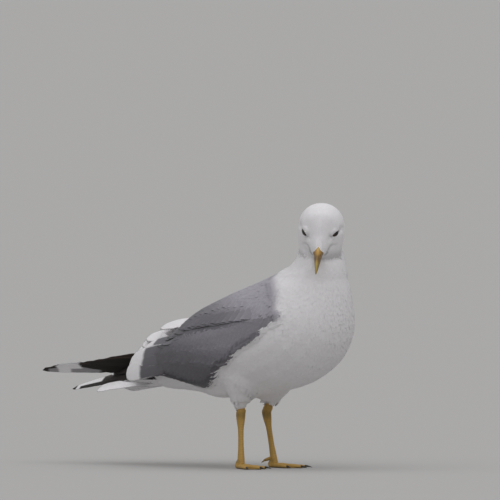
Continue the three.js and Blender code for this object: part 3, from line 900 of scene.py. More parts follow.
def feather_coat(name, skin, roots, spec, rng, material, slot):
    """One piece of joined small feathers that lie on the skin, each a thin closed vane."""
    rows, columns = spec.rows, spec.columns
    rib = ribs(skin, roots, spec, rng)
    count = len(rib.length)
    ragged = 1 + rng.normal(0, spec.ragged, (count, rows + 2, 2))
    x = np.linspace(-1, 1, columns)
    reach = rib.half[:, 1:-1, None] * x * np.where(x < 0, ragged[:, 1:-1, :1], ragged[:, 1:-1, 1:])
    back = -SWEEP * rib.length * x**2 * rib.stations[1:-1, None]
    drop = -spec.camber * np.abs(reach) * np.abs(x)
    thick = spec.thickness * MM * (1 - x**2)
    across = rib.across[:, 1:-1, None]
    base = rib.centre[:, 1:-1, None] + across * reach[..., None]
    base = base + rib.course[:, 1:-1, None] * back[..., None]
    up = rib.normals[:, 1:-1, None]
    top = base + up * (drop + thick)[..., None]
    under = (base + up * (drop - thick)[..., None])[:, :, 1:-1]
    both = [top.reshape(count, -1, 3), under.reshape(count, -1, 3)]
    points = np.concatenate([rib.centre[:, :1], *both, rib.centre[:, -1:]], 1)

    def spread(root_value, grid, tip_value):
        """The same layout of points for a value of each grid place."""
        size = grid.shape[-1]
        full = np.broadcast_to(grid, (count, rows, columns, size))
        parts = [
            np.broadcast_to(root_value, (count, 1, size)),
            full.reshape(count, -1, size),
            full[:, :, 1:-1].reshape(count, -1, size),
            np.broadcast_to(tip_value, (count, 1, size)),
        ]
        return np.concatenate(parts, 1)

    soft = unit(up + across * (x * spec.rounding)[:, None])
    soft = spread(rib.normals[:, :1], soft, rib.normals[:, -1:])
    vane = stacked(x * 0.5 + 0.5, rib.stations[1:-1, None])
    vane = spread(np.array([0.5, 0.0]), vane, np.array([0.5, 1.0]))
    own = spec.tint(rib.roots, rib.shade, rng)
    own = spread(own[:, :1], own[:, 1:-1, None], own[:, -1:])
    along = vane[..., 1:]
    edge = np.abs(vane[..., :1] * 2 - 1)
    far_out = np.maximum(along, edge * (0.55 + 0.45 * along))
    share = ease(far_out, spec.fringe_from, min(spec.fringe_from + FRINGE_FADE, 1.0)) * spec.fringe_share
    tint = own * (1 - share) + spec.fringe(own) * share
    patch = coat_map(rib.roots)[:, None] + (vane - 0.5) * OWN_PATCH

    faces, facing, size = blade_grid(rows, columns)
    all_faces = (faces[None] + (np.arange(count) * size)[:, None, None]).reshape(-1, 3)
    obj = new_object(name, points.reshape(-1, 3), all_faces)
    lay_map(obj, "OFBake", patch.reshape(-1, 2))
    lay_map(obj, "Vane", vane.reshape(-1, 2))
    paint(obj, "Plumage", tint.reshape(-1, 3))
    corner_normals = soft.reshape(-1, 3)[all_faces] * np.tile(facing, count)[:, None, None]
    obj.data.normals_split_custom_set(corner_normals.reshape(-1, 3))
    return finish_piece(obj, material, slot)


def walked(skin, roots, run, steps):
    """Places, normals and shades on each feather's way over the skin, and straight on over an edge."""
    spots = [roots.place]
    normals = [roots.normal]
    shades_there = [roots.shade]
    for step in steps.T:
        ahead = spots[-1] + run * step[:, None]
        spot, normal, shade = skin_under(skin, ahead)
        shades_there.append(shade)
        off = ease(np.linalg.norm(ahead - spot, axis=1), 1.0 * MM, 2.2 * MM)
        turn = (normal * roots.normal).sum(1)
        off = np.maximum(off, 1 - ease(turn, 0.45, 0.75))[:, None]
        spots.append(spot * (1 - off) + ahead * off)
        normals.append(unit(normal * (1 - off) + normals[-1] * off))
        run = flat_on(run, normals[-1])
    return np.stack(spots, 1), np.stack(normals, 1), np.stack(shades_there, 1)


def skin_under(skin, points):
    """The skin's place, smooth normal and shade nearest to each point."""
    spot, corner, share = face_under(skin, points)
    return spot, unit((skin.normals[corner] * share[..., None]).sum(1)), (skin.shade[corner] * share).sum(1)


def coat_map(roots):
    """An unwrap of the skin's own shape: how far along the bird each root is, and how far round it."""
    line, runs = flow()
    index = ((roots.place[:, None] - line[None]) ** 2).sum(2).argmin(1)
    run = runs[index]
    left = flat_on(np.broadcast_to(np.array([1.0, 0.0, 0.0]), run.shape), run)
    out = roots.place - line[index]
    round_it = np.arctan2((out * left).sum(1), (out * np.cross(run, left)).sum(1))
    places = np.stack([roots.station, round_it], 1)
    low, high = places.min(0), places.max(0)
    return 0.02 + 0.96 * (places - low) / (high - low)


GREY_STANDS_BACK = 2 * MM  # the white feathers in front lie over the edge of the grey ones
TRIES = 9  # places tried for each root
CELLS = 4001  # more cells than the bird has in any direction
LID_SPACING = 0.7  # coats as close as this lie only round the eyes


def scattered(skin, wanted, spacing, rng, edges_only=False):
    """Roots spread over the wanted regions of the skin, about one for each cell of this spacing.

    None stand on the steep ends of the shoulders and wings, which the long feathers cover.
    """
    faces = skin.faces[np.isin(skin.region[skin.faces[:, 0]], wanted)]
    corner = skin.points[faces]
    area = np.linalg.norm(np.cross(corner[:, 2] - corner[:, 0], corner[:, 3] - corner[:, 1]), axis=1) / 2
    many = int(area.sum() / (spacing * MM) ** 2 * TRIES)
    pick = rng.choice(len(faces), many, p=area / area.sum())
    a, b = rng.random((2, many, 1))
    corner = corner[pick]
    one_edge = corner[:, 0] * (1 - a) + corner[:, 1] * a
    other_edge = corner[:, 3] * (1 - a) + corner[:, 2] * a
    spots = one_edge * (1 - b) + other_edge * b
    cell = np.floor(spots / (spacing * MM)).astype(np.int64)
    key = (cell[:, 0] * CELLS + cell[:, 1]) * CELLS + cell[:, 2]
    _, first = np.unique(key, return_index=True)
    roots = skin.at(spots[first])
    forward, left, up = to_bird(roots.place).T
    ends = ((roots.normal[:, 1] > 0.34) & (forward < -50)) | (forward < -103)
    white = (roots.region == RUMP) | (roots.shade < 0.3)
    ends &= ~(white & (np.abs(left) < 18) & (roots.normal[:, 2] > 0.35))
    ends |= ((roots.region == WING) | (np.abs(left) > 18)) & (forward < -86) & (up > 102)
    keep = ~(ends & np.isin(roots.region, (WING, MANTLE, RUMP)))
    if edges_only:
        keep &= (roots.shade > 0.03) & (roots.place[:, 2] < 0.140)
    if spacing < LID_SPACING:
        keep &= near_eyes(roots.place) < 8.5
    if wanted[0] in (WING, MANTLE):
        ahead = skin.at(roots.place - roots.lie * GREY_STANDS_BACK)
        keep &= np.isin(ahead.region, (WING, MANTLE))
    return picked(roots, keep)


def picked(roots, keep):
    """The roots that are kept."""
    return SimpleNamespace(**{name: values[keep] for name, values in vars(roots).items()})


def coat_spec(**changes):
    """How the small feathers of one region are made; lengths in millimetres."""
    base = dict(
        length=10.0, width=7.0, spacing=2.6, rows=3, columns=5, rise=(0.9, 1.0), start=0.2, settle=3.0,
        lift=0.15, least_bend=0.8, vary=0.13, stray=0.10, twist=0.03, blunt=0.72, ragged=0.05, camber=0.13,
        thickness=0.10, rounding=0.16, fringe_from=0.72, fringe_share=0.0, edges_only=False, tint=own_tint,
        fringe=same_fringe,
    )
    return SimpleNamespace(**{**base, **changes})


def own_tint(roots, shade, rng):
    """The skin's colour below each row of a feather, with the painted light and shade of the grey and the
    face's painted shadows, a little different from feather to feather.
    """
    level = rng.normal(1, 0.015, (len(roots.region), 1, 1))
    grey = np.broadcast_to(painted_light_on_grey(roots.place, roots.region)[:, None], shade.shape)
    return plumage_colours(shade, grey) * level * painted_face_shadow(roots.place, roots.region)[:, None, None]


def white_tint(roots, shade, rng):
    """Plain white, also over the grey skin at the wing's front edge."""
    return np.broadcast_to(np.array(colours().white), (*shade.shape, 3))


# The crease that runs back from each corner of the mouth, in the head's frame.
GAPE_CREASE = [(30.8, 4.6, -9.6), (28.9, 6.3, -6.9), (26.4, 8.1, -5.3), (23.5, 10.4, -4.9), (20, 14, -7)]
# The front corner of each eye, where a painted shadow darkens the plumage.
LORE_SHADOW = (19.0, 9.6, 0.5)


def crease_depth(points):
    """How deep each point lies in the gape's creases, from 0 to 1; they fade out on the cheeks."""
    spots = to_head(points)
    depth = np.zeros(len(points))
    close = (spots[:, 0] > 14) & (np.abs(spots[:, 1]) < 18) & (spots[:, 2] > -14) & (spots[:, 2] < 0)
    spots = spots[close]
    spots[:, 1] = np.abs(spots[:, 1])
    crease = curve_through(GAPE_CREASE, 60)
    far = np.sqrt(((spots[:, None] - crease[None]) ** 2).sum(2))
    fade = np.linspace(1, 0.2, len(crease))[None]
    depth[close] = (fade * hump(far, 0, 1.15)).max(1)
    return depth


def painted_face_shadow(points, region):
    """Painted shadow on the face: darker plumage in the gape's creases, before the eyes and under the chin,
    where shade falls.
    """
    x, y, z = to_head(points).T
    # Painted shadows: before each eye, under the chin and along the gape's creases.
    lores = 0.20 * np.exp(-((x - LORE_SHADOW[0]) ** 2 + (np.abs(y) - LORE_SHADOW[1]) ** 2 + (z - LORE_SHADOW[2]) ** 2) / 3.2**2)
    over_throat = z + 17.1 + 0.25 * (33.6 - x)
    chin = 0.30 * (1 - ease(over_throat, 1.5, 9.5)) * ease(x, 8, 18) * np.isin(region, (FACE, CROWN))
    return 1 - np.maximum.reduce([0.48 * crease_depth(points), lores, chin])


def same_fringe(own):
    """No fringe of another colour."""
    return own


def pale_fringe(own):
    """A slightly paler edge, as on the mantle and the wings."""
    return own * 1.35


# Smooth feathers that hardly break the surface, small ones, and the sleek grey ones that show more.
SMOOTH = {"rise": (0.95, 1.0), "lift": 0.04, "twist": 0.012, "stray": 0.06, "thickness": 0.06,
          "ragged": 0.03, "camber": 0.04, "rounding": 0.06}
SMALL = {"camber": 0.06, "lift": 0.06, "thickness": 0.05, "rounding": 0.08}
SLEEK = {**SMOOTH, "lift": 0.07, "thickness": 0.08, "rounding": 0.08}
# The coats: name, regions, slot and how the feathers are made.
COATS = [
    ("coat_face", [FACE], "white_plumage",
     coat_spec(length=2.6, width=1.8, spacing=0.72, rows=2, columns=3, stray=0.08, **SMALL)),
    ("coat_lids", [FACE], "white_plumage",
     coat_spec(length=1.4, width=1.1, spacing=0.55, rows=2, columns=3, stray=0.08, thickness=0.05,
               least_bend=0.3, rise=(0.7, 0.9), lift=0.05)),
    ("coat_crown", [CROWN], "white_plumage",
     coat_spec(length=4.5, width=3.0, spacing=1.15, rows=2, columns=5, **SMALL)),
    ("coat_neck", [NECK], "white_plumage", coat_spec(length=7.5, width=4.8, spacing=1.6, **SMOOTH)),
    ("coat_breast", [BREAST], "white_plumage", coat_spec(length=10.0, width=6.5, spacing=2.0, **SMOOTH)),
    ("coat_belly", [BELLY], "white_plumage", coat_spec(length=12.0, width=7.0, spacing=2.2, **SMOOTH)),
    ("coat_flanks", [FLANK], "white_plumage", coat_spec(length=14.0, width=7.0, spacing=2.2, camber=0.05)),
    ("coat_rump", [RUMP], "white_plumage", coat_spec(length=14.0, width=7.0, spacing=2.4)),
    ("coat_mantle", [MANTLE], "grey_plumage",
     coat_spec(length=13.0, width=9.5, spacing=2.9, rows=4, fringe_share=0.5, fringe=pale_fringe, **SLEEK)),
    ("coat_wings", [WING], "grey_plumage",
     coat_spec(length=12.0, width=8.0, spacing=2.6, rows=4, fringe_share=0.5, fringe=pale_fringe, **SLEEK)),
    ("coat_thighs", [THIGH], "white_plumage", coat_spec(length=6.0, width=3.4, spacing=1.4)),
    ("coat_edges", [FLANK, BREAST, BELLY], "white_plumage",
     coat_spec(length=8.0, width=2.4, spacing=1.05, rows=2, columns=3, stray=0.10, lift=0.15, vary=0.3,
               camber=0.05, thickness=0.06, edges_only=True, rise=(1.05, 1.3), tint=white_tint)),
]
# The coats that are laid as a right and a left piece.
IN_TWO = ("coat_breast", "coat_neck", "coat_belly", "coat_mantle", "coat_wings")


def on_side(skin, side, outline, count):
    """Roots spaced along a line of (forward, up) places drawn on the bird's side."""
    line = curve_through([(forward, 0, up) for forward, up in outline], count)
    hits = []
    for forward, _, up in line:
        start = place(forward, side * 90, up)
        hit = skin.tree.ray_cast(start, Vector((-side, 0, 0)))[0]
        if hit is not None:
            hits.append(tuple(hit))
    return skin.at(np.array(hits))


def white_fringe(own):
    """A white edge, as on the hindmost shoulder feathers."""
    return np.broadcast_to(np.array(colours().white), own.shape)


def grey_tint(roots, shade, rng):
    """Plain grey, as light as the painted light and shade make it at the root, with a little difference from
    feather to feather.
    """
    level = painted_light_on_grey(roots.place, roots.region) * rng.normal(1, 0.03, len(roots.region))
    return plumage_colours(np.ones(shade.shape), np.broadcast_to(level[:, None], shade.shape))


# Rows of larger feathers on each wing, from the hindmost that lies lowest to the foremost, and the
# hindmost shoulder feathers, whose white ends make a crescent: the seed, the line of their roots as
# (forward, up), how many, their first and last length, their width, and what else differs.
WING_ROWS = {
    "secondary_row": (300, [(-6, 92), (-36, 93), (-66, 96)], 12, (24, 30), 13, {}),
    "greater_row": (302, [(14, 104), (-20, 105), (-70, 104)], 15, (24, 30), 12, {}),
    "median_row": (304, [(34, 118), (-10, 115), (-74, 112)], 18, (18, 22), 11, {}),
    "scapular_edge": (306, [(44, 147), (0, 139), (-40, 133), (-72, 124)], 17, (18, 26), 13,
                      {"rise": (1.35, 1.6), "lift": 0.9}),
    "scapular_middle": (308, [(36, 158), (-10, 149), (-50, 140), (-70, 133)], 14, (17, 26), 13,
                        {"lift": 0.6}),
    "rear_scapulars": (340, [(-66, 120), (-70, 125), (-70, 131), (-68, 137)], 6, (28, 28), 11,
                       {"rows": 9, "vary": 0.06, "camber": 0.13, "twist": 0.03, "rise": (1.05, 1.2),
                        "lift": 0.4, "least_bend": 0.3, "fringe": white_fringe, "fringe_share": 1.0,
                        "fringe_from": 0.90}),
}
ROW_FEATHERS = dict(
    rows=7, columns=7, vary=0.05, stray=0.05, thickness=0.16, camber=0.06, twist=0.015, least_bend=0.6,
    tint=grey_tint, fringe=pale_fringe, fringe_share=0.7,
)


def wing_rows(skin, material):
    """The rows of both wings, one piece for each row."""
    for name, (seed, line, count, lengths, width, changes) in WING_ROWS.items():
        for side, end in SIDES.items():
            rng = np.random.default_rng(seed + (side == LEFT))
            roots = on_side(skin, side, line, count)
            length = np.linspace(*lengths, len(roots.place))
            spec = coat_spec(length=length, width=width, **{**ROW_FEATHERS, **changes})
            feather_coat(f"{name}_{end}", skin, roots, spec, rng, material, "grey_plumage")


class GULL_OT_coat(bpy.types.Operator):
    """Lays the small feathers over the skin, one joined piece for each region"""

    bl_idname = "gull.coat"
    bl_label = "Small feathers"

    def execute(self, context):
        skin = Skin()
        plumage = plumage_material("Plumage")
        sizes = context.scene.gull_sizes
        for number, (name, regions, slot, spec) in enumerate(COATS):
            rng = np.random.default_rng(100 + number)
            spacing = spec.spacing / math.sqrt(sizes.crowding)
            spec.length *= sizes.feather_scale
            roots = scattered(skin, regions, spacing, rng, spec.edges_only)
            if name in IN_TWO:
                for side, end in SIDES.items():
                    half = picked(roots, roots.place[:, 0] * side > 0)
                    feather_coat(f"{name}_{end}", skin, half, spec, rng, plumage, slot)
            else:
                feather_coat(name, skin, roots, spec, rng, plumage, slot)
        wing_rows(skin, plumage_material("Plumage of the wing rows", 3.0))
        return {"FINISHED"}


# ---- Long feathers ----


def vane_width(t, stem, pointed, blunt):
    """Half width along a long feather: a bare stem, a full vane, then a pointed or blunt end."""
    rise = ease(t, stem * 0.5, stem + 0.16)
    end = np.clip((t - 1 + pointed) / pointed, 0, 1)
    return 0.08 + 0.92 * rise * np.sqrt(np.clip(1 - end ** (2 * blunt), 0, 1))


def long_feather(quill, rng):
    """The points, faces and vane map of one long feather with its shaft, cupped webs and small splits."""
    rows, columns = 34, 13
    root, tip, face = (np.array(v, float) for v in (quill.root, quill.tip, quill.face))
    run = tip - root
    flat = flat_on(face, unit(run))
    out = np.cross(unit(run), flat) * quill.outward
    t = np.linspace(0, 1, rows + 2)
    bow = 4 * quill.bow * MM * t * (1 - t)
    swing = 4 * quill.swing * MM * t * (1 - t)
    centre = root + run * t[:, None] + flat * bow[:, None] + out * swing[:, None]
    half = quill.width * MM * vane_width(t, quill.stem, quill.pointed, quill.blunt)
    x = np.linspace(-1, 1, columns)
    share = np.where(x > 0, quill.outer, 1 - quill.outer)
    wobble = np.ones((rows + 2, columns))
    for edge in (0, columns - 1):
        rough = rng.normal(0, 0.02, rows + 2)
        for split in rng.integers(int(rows * 0.3), rows, 2):
            rough[split] -= rng.uniform(0.05, 0.16)
        wobble[:, edge] += rough
    reach = half[:, None] * x * share * wobble
    slant = np.abs(reach) * 0.55 * ease(t, 0.02, 0.2)[:, None]
    cup = -quill.cup * np.abs(reach) * np.abs(x)
    shaft = 0.35 * MM * hump(x, 0, 0.11) * (1 - 0.75 * t[:, None])
    thick = 0.16 * MM * (1 - x**2)
    base = centre[:, None] + out * reach[..., None] + unit(run) * (slant * (1 - t[:, None]) ** 0.3)[..., None]
    top = (base + flat * (cup + shaft + thick)[..., None])[1:-1]
    under = (base + flat * (cup - shaft * 0.7 - thick)[..., None])[1:-1, 1:-1]
    points = np.concatenate([centre[:1], top.reshape(-1, 3), under.reshape(-1, 3), centre[-1:]])
    faces, _, _ = blade_grid(rows, columns)
    if quill.outward > 0:
        faces = faces[:, ::-1]
    vane = stacked(x * 0.5 + 0.5, t[1:-1, None])
    vane = np.concatenate([[[0.5, 0.0]], vane.reshape(-1, 2), vane[:, 1:-1].reshape(-1, 2), [[0.5, 1.0]]])
    return points, faces, vane


def feather_fan(name, quills, seed, material, slot, *nodes):
    """One piece of joined long feathers; each one's marks are written on its points."""
    rng = np.random.default_rng(seed)
    points, faces, vanes = zip(*[long_feather(q, rng) for q in quills])
    counts = [len(p) for p in points]
    starts = np.cumsum([0, *counts[:-1]])
    obj = new_object(name, np.concatenate(points), np.concatenate([f + o for f, o in zip(faces, starts)]))
    lay_map(obj, "Vane", np.concatenate(vanes))
    for mark in ("MarksA", "MarksB"):
        note(obj, mark, np.repeat([getattr(q, mark) for q in quills], counts, axis=0))
    return finish_piece(obj, material, slot, *nodes)


def quill_spec(**changes):
    """How one long feather is made; its root, tip and face are always given."""
    base = dict(bow=3.0, swing=0.0, stem=0.05, blunt=1.0, MarksA=(0.0, 0.0, 0.0), MarksB=(0.0, 0.0, 0.0))
    return SimpleNamespace(**{**base, **changes})


def marks(shader):
    """The six numbers written on each long feather."""
    values = []
    for name in ("MarksA", "MarksB"):
        vector = shader.attribute(name, "Vector")
        for axis in "XYZ":
            values.append(shader.node("ShaderNodeSeparateXYZ", inputs={0: vector}, output=axis))
    return values


def vane_finish(shader, colour, rough=0.62):
    """The shaft and the barbs of a long feather, over its colour."""
    across, along = shader.uv("Vane")
    middle = abs(across - 0.5)
    barbs = (along * 1100 + middle * 400).sine()
    shaft = 1 - middle.above(0.012, 0.03)
    cloud = shader.noise(180.0, 3.0)
    shade = 0.93 + barbs * 0.035 + cloud * 0.1
    shader.set("Base Color", shader.multiplied(colour, shade))
    shader.set("Roughness", rough + cloud * 0.14 - shaft * 0.15)
    shader.bump(barbs, 0.35, 0.0001)
    return shader.material


def tertial_material():
    """Grey webs that end in a broad white crescent, with a narrow pale edge; the grey carries painted shade,
    darker on the lower quills.
    """
    shader = Shader("Tertials", Specular_IOR_Level=0.25, Sheen_Weight=0.08)
    white_from, fringe, level, _, _, _ = marks(shader)
    across, along = shader.uv("Vane")
    middle = abs(across - 0.5) * 2
    ragged = shader.noise(900.0, 3.0) * 0.05 - 0.025
    tip = (along + middle * middle * 0.05 + ragged).above(white_from - 0.03, white_from + 0.05)
    edge = middle.above(1 - fringe, 1.02 - fringe * 0.35) * along.above(0.25, 0.5) * 0.8
    # The grey is darkened by each quill's painted shade level.
    grey = shader.multiplied(colours().grey, level)
    both = shader.mix(shader.math("MAXIMUM", tip, edge), grey, colours().white)
    return vane_finish(shader, both)


def hand_material():
    """Black webs with a white tip; the outermost have a white mirror and a pale grey web round it."""
    shader = Shader("Hand quills", Specular_IOR_Level=0.2)
    mirror_from, mirror_to, tip_from, pale_from, pale_to, half_from = marks(shader)
    across, along = shader.uv("Vane")
    upward = 1 - across
    ragged = shader.noise(1200.0, 3.0) * 0.02 - 0.01
    where = along + ragged
    before_end = 1 - where.above(mirror_to - 0.01, mirror_to + 0.006)
    mirror = where.above(mirror_from - 0.006, mirror_from + 0.01) * before_end
    upper = where.above(half_from - 0.01, half_from + 0.01) * before_end
    mirror = shader.math("MAXIMUM", mirror, upper * upward.above(0.50, 0.60))
    middle = abs(across - 0.5) * 2
    tip = (where + middle * middle * 0.03).above(tip_from - 0.01, tip_from + 0.012)
    share = 0.34 + (where - pale_from) * 3.0
    inner = 1 - (upward - share).above(-0.04, 0.04)
    pale = where.above(pale_from - 0.01, pale_from + 0.02)
    pale = pale * (1 - where.above(pale_to - 0.01, pale_to + 0.008))
    pale = pale * inner * (1 - where.above(0.90, 0.92) * upward.above(0.66, 0.76))
    brown = shader.mix(upward.above(0.80, 1.0) * 0.7, colours().black, (0.085, 0.06, 0.048))
    with_pale = shader.mix(pale, brown, colours().pale_web)
    both = shader.mix(shader.math("MAXIMUM", mirror, tip), with_pale, colours().white)
    return vane_finish(shader, both, 0.5)


def tail_material():
    """White webs, a little warm near the shaft."""
    shader = Shader("Tail feathers", Specular_IOR_Level=0.25, Sheen_Weight=0.08)
    across, _ = shader.uv("Vane")
    shaft = 1 - abs(across - 0.5).above(0.01, 0.05)
    tint = shader.mix(shaft * 0.35, colours().white, tuple(c * 0.82 for c in colours().white))
    return vane_finish(shader, tint)


NOT_MARKED = 2.0  # beyond the tip, so that the mark isn't drawn
# The root and the facing of each wing's five outer hand quills, and then for each quill, the longest
# first and lowest: its tip, where along it the white mirror begins and ends and the white tip begins,
# and where the pale grey web begins and ends and the mirror begins on the inner half only.
HAND_QUILLS = {
    RIGHT: ((-84, -30, 88), (-0.7, 0, 0.7), [
        ((-261, 17, 67), (0.91, 0.955, NOT_MARKED), (0, 0, 0.70)),
        ((-240, 15, 70.5), (NOT_MARKED, 0.90, NOT_MARKED), (0, 0, 0.82)),
        ((-214, 12, 75.5), (NOT_MARKED, NOT_MARKED, 0.97), (0, 0, NOT_MARKED)),
        ((-200, 9, 81), (NOT_MARKED, NOT_MARKED, 0.95), (0, 0, NOT_MARKED)),
        ((-180, 5, 85), (NOT_MARKED, NOT_MARKED, 0.97), (0, 0, NOT_MARKED)),
    ]),
    LEFT: ((-84, 30, 87), (0.82, 0, 0.57), [
        ((-265, -18, 85), (0.83, 0.905, NOT_MARKED), (0.655, 0.962, 0.765)),
        ((-256, -17, 86.5), (0.79, 0.935, NOT_MARKED), (0, 0, NOT_MARKED)),
        ((-211, -13, 91), (NOT_MARKED, NOT_MARKED, NOT_MARKED), (0, 0, NOT_MARKED)),
        ((-198, -10, 93), (NOT_MARKED, NOT_MARKED, NOT_MARKED), (0, 0, NOT_MARKED)),
        ((-184, -7, 94.5), (NOT_MARKED, NOT_MARKED, NOT_MARKED), (0, 0, NOT_MARKED)),
    ]),
}


def hand_quills(side):
    """The outer hand quills that show behind the folded wing."""
    (forward, left, up), facing, quills = HAND_QUILLS[side]
    face = Vector(facing)
    made = []
    for number, (tip, first, second) in enumerate(quills):
        shift = face * 0.55 * number * MM
        made.append(
            quill_spec(
                root=place(forward, left, up + 1.6 * number) + shift, tip=place(*tip) + shift, face=face,
                outward=side, width=15.0, outer=0.34, bow=1.0, swing=-1.5, pointed=0.62, blunt=0.8,
                cup=0.10, MarksA=first, MarksB=second,
            )
        )
    return made


# The fans of long inner quills on each wing, the lowest quill first: its root, its tip, its width,
# which way it faces and how much of its end is white. The left wing has one fan on its inner side
# and one on its outer side.
TERTIALS = {
    RIGHT: [[
        ((-56, -42, 92), (-112, -31, 89), 13, (-1, 0, 0.1), 5),
        ((-66, -40, 96), (-142, -29, 84), 20, (-1, 0, 0.2), 27),
        ((-64, -38, 107), (-140, -26, 93), 22, (-1, 0, 0.4), 27),
        ((-62, -33, 115), (-131, -20, 103), 22, (-1, 0, 0.9), 24),
        ((-60, -25, 120), (-122, -13, 109), 19, (-1, 0, 1.6), 9),
        ((-58, -16, 124), (-110, -8, 115), 16, (-1, 0, 2.2), 5),
    ]],
    LEFT: [[
        ((-66, 40, 97), (-171, 12, 101), 22, (-0.3, 0, 0.95), 34),
        ((-66, 36, 106), (-168, 13, 106), 25, (-0.5, 0, 0.87), 36),
        ((-64, 30, 114), (-161, 14, 112.5), 29, (-0.5, 0, 0.87), 42),
        ((-62, 24, 121), (-156, 15, 117), 27, (-0.45, 0, 0.9), 48),
        ((-64, 18, 130), (-136, 15, 126.5), 24, (-0.4, 0, 0.92), 62),
    ], [
        ((-66, 43, 93), (-138, 36, 83), 18, (1, 0, 0.12), 27),
        ((-66, 43, 99), (-150, 34, 88), 22, (1, 0, 0.2), 30),
        ((-64, 42, 107), (-158, 32, 95), 24, (1, 0, 0.35), 33),
        ((-62, 39, 115), (-162, 30, 103), 25, (1, 0, 0.55), 36),
        ((-60, 35, 121), (-158, 30, 112), 25, (1, 0, 0.9), 38),
        ((-60, 29, 125.5), (-146, 27, 119.5), 25, (0.7, 0, 1.0), 40),
    ]],
}
# How dark the painted shade makes the lowest quill's grey, and how much painted light each quill above it
# gets.
TERTIAL_SHADED_GREY = {RIGHT: 0.42, LEFT: 0.55}
PAINTED_LIGHT_UP = 0.06


def tertial_quills(side):
    """The long inner quills that fan out behind the coverts."""
    quills = []
    rows = [row for fan in TERTIALS[side] for row in enumerate(fan)]
    for number, (root, tip, width, facing, white) in rows:
        face = Vector(facing).normalized()
        shift = face * 0.7 * number * MM
        length = (Vector(tip) - Vector(root)).length
        quills.append(
            quill_spec(
                root=place(*root) + shift, tip=place(*tip) + shift, face=face, outward=side, width=width,
                outer=0.46, bow=3.0, pointed=0.30, blunt=1.1, cup=0.13,
                # The third mark is the quill's painted shade level.
                MarksA=(1 - white / length, 0.16, TERTIAL_SHADED_GREY[side] + PAINTED_LIGHT_UP * number),
            )
        )
    return quills


TAIL_PAIRS = 6


def tail_quills():
    """Twelve tail feathers, the middle pair on top and the outer ones tilted down at the sides."""
    quills = []
    for pair in reversed(range(TAIL_PAIRS)):
        for side in SIDES:
            spread = (pair + 0.5) / TAIL_PAIRS
            tilt = math.radians(34) * spread
            quills.append(
                quill_spec(
                    root=place(-104, side * spread * 10, 87 - 6 * spread),
                    tip=place(-194 + 3 * spread**2, side * spread * 17, 71.5 - 0.8 * spread),
                    face=Vector((side * math.sin(tilt), 0, math.cos(tilt))), outward=-side, width=16.0,
                    outer=0.5 - 0.12 * spread, bow=1.2, pointed=0.16, blunt=1.3, cup=0.06,
                )
            )
    return quills


# Rows of the feathers over and under the root of the tail: how far forward their roots are, how high
# and how far out, how far forward their tips are and how high, and whether they lie above or below.
TAIL_COVERTS = [
    (-122, 78.0, 8, -172, 73.2, -1),
    (-108, 77.8, 11, -158, 74.6, -1),
    (-94, 77.0, 14, -144, 75.4, -1),
    (-112, 88, 8, -158, 79, 1),
    (-98, 94, 10, -142, 86, 1),
    (-84, 101, 13, -126, 94, 1),
]


def tail_covert_quills():
    """Seven feathers in each row over and under the root of the tail."""
    quills = []
    for forward, up, out, back, end_up, way in TAIL_COVERTS:
        for share in np.linspace(-1, 1, 7):
            tilt = math.radians(62 if way > 0 else 34) * share
            face = Vector((math.sin(tilt), 0, math.cos(tilt) * way)).normalized()
            rise = (1 - math.cos(tilt)) * 6
            quills.append(
                quill_spec(
                    root=place(forward, share * out, up - way * rise),
                    tip=place(back + 5 * share**2, share * out * 1.1, end_up - way * rise * 0.9),
                    face=face, outward=1, width=12.0, outer=0.5, bow=1.5, pointed=0.35, blunt=1.0,
                    cup=0.10,
                )
            )
    return quills


class GULL_OT_quills(bpy.types.Operator):
    """Makes the tail feathers and the long quills of both wings, each with its shaft and webs"""

    bl_idname = "gull.quills"
    bl_label = "Long feathers"

    def execute(self, context):
        white = tail_material()
        feather_fan("tail_feathers", tail_quills(), 11, white, "white_plumage", "tail")
        feather_fan("tail_coverts", tail_covert_quills(), 12, white, "white_plumage")
        tertials, hand = tertial_material(), hand_material()
        for number, (side, name) in enumerate(SIDES.items()):
            inner, outer = tertial_quills(side), hand_quills(side)
            nodes = f"wing_{name}_tertials", f"wing_{name}_primaries"
            feather_fan(f"tertials_{name}", inner, 20 + number, tertials, "grey_plumage", nodes[0])
            feather_fan(f"hand_quills_{name}", outer, 30 + number, hand, "black_plumage", nodes[1])
        return {"FINISHED"}


# ---- Lofts ----


def loft(rings, closed=False):
    """The points and faces of rings joined one to the next, with flat ends or closed round to the first."""
    rings = np.asarray(rings)
    count, around = rings.shape[:2]
    here = np.arange(count * around).reshape(count, around)
    ahead = np.roll(here, -1, axis=0) if closed else here[1:]
    here = here if closed else here[:-1]
    quads = np.stack([here, np.roll(here, -1, axis=1), np.roll(ahead, -1, axis=1), ahead], -1)
    faces = quads.reshape(-1, 4).tolist()
    if not closed:
        faces += [list(range(around)), list(range((count - 1) * around, count * around))]
    return rings.reshape(-1, 3), faces


def joined(name, parts):
    """One object from several lofts, with its faces turned outward."""
    faces = []
    start = 0
    for points, part_faces in parts:
        faces += [[corner + start for corner in face] for face in part_faces]
        start += len(points)
    obj = new_object(name, np.concatenate([points for points, _ in parts]), faces)
    bm = bmesh.new()
    bm.from_mesh(obj.data)
    bmesh.ops.recalc_face_normals(bm, faces=bm.faces)
    bm.to_mesh(obj.data)
    bm.free()
    obj.data.shade_smooth()
    return obj


def grid_map(count, around, first=0.0, last=1.0):
    """A UV place for each point of a loft: round the ring, and from ring to ring."""
    u, v = np.meshgrid(np.arange(around) / around, np.linspace(first, last, count))
    return np.stack([u, v], -1).reshape(-1, 2)


# ---- Eyes ----


EYE_RINGS, EYE_AROUND = 36, 48


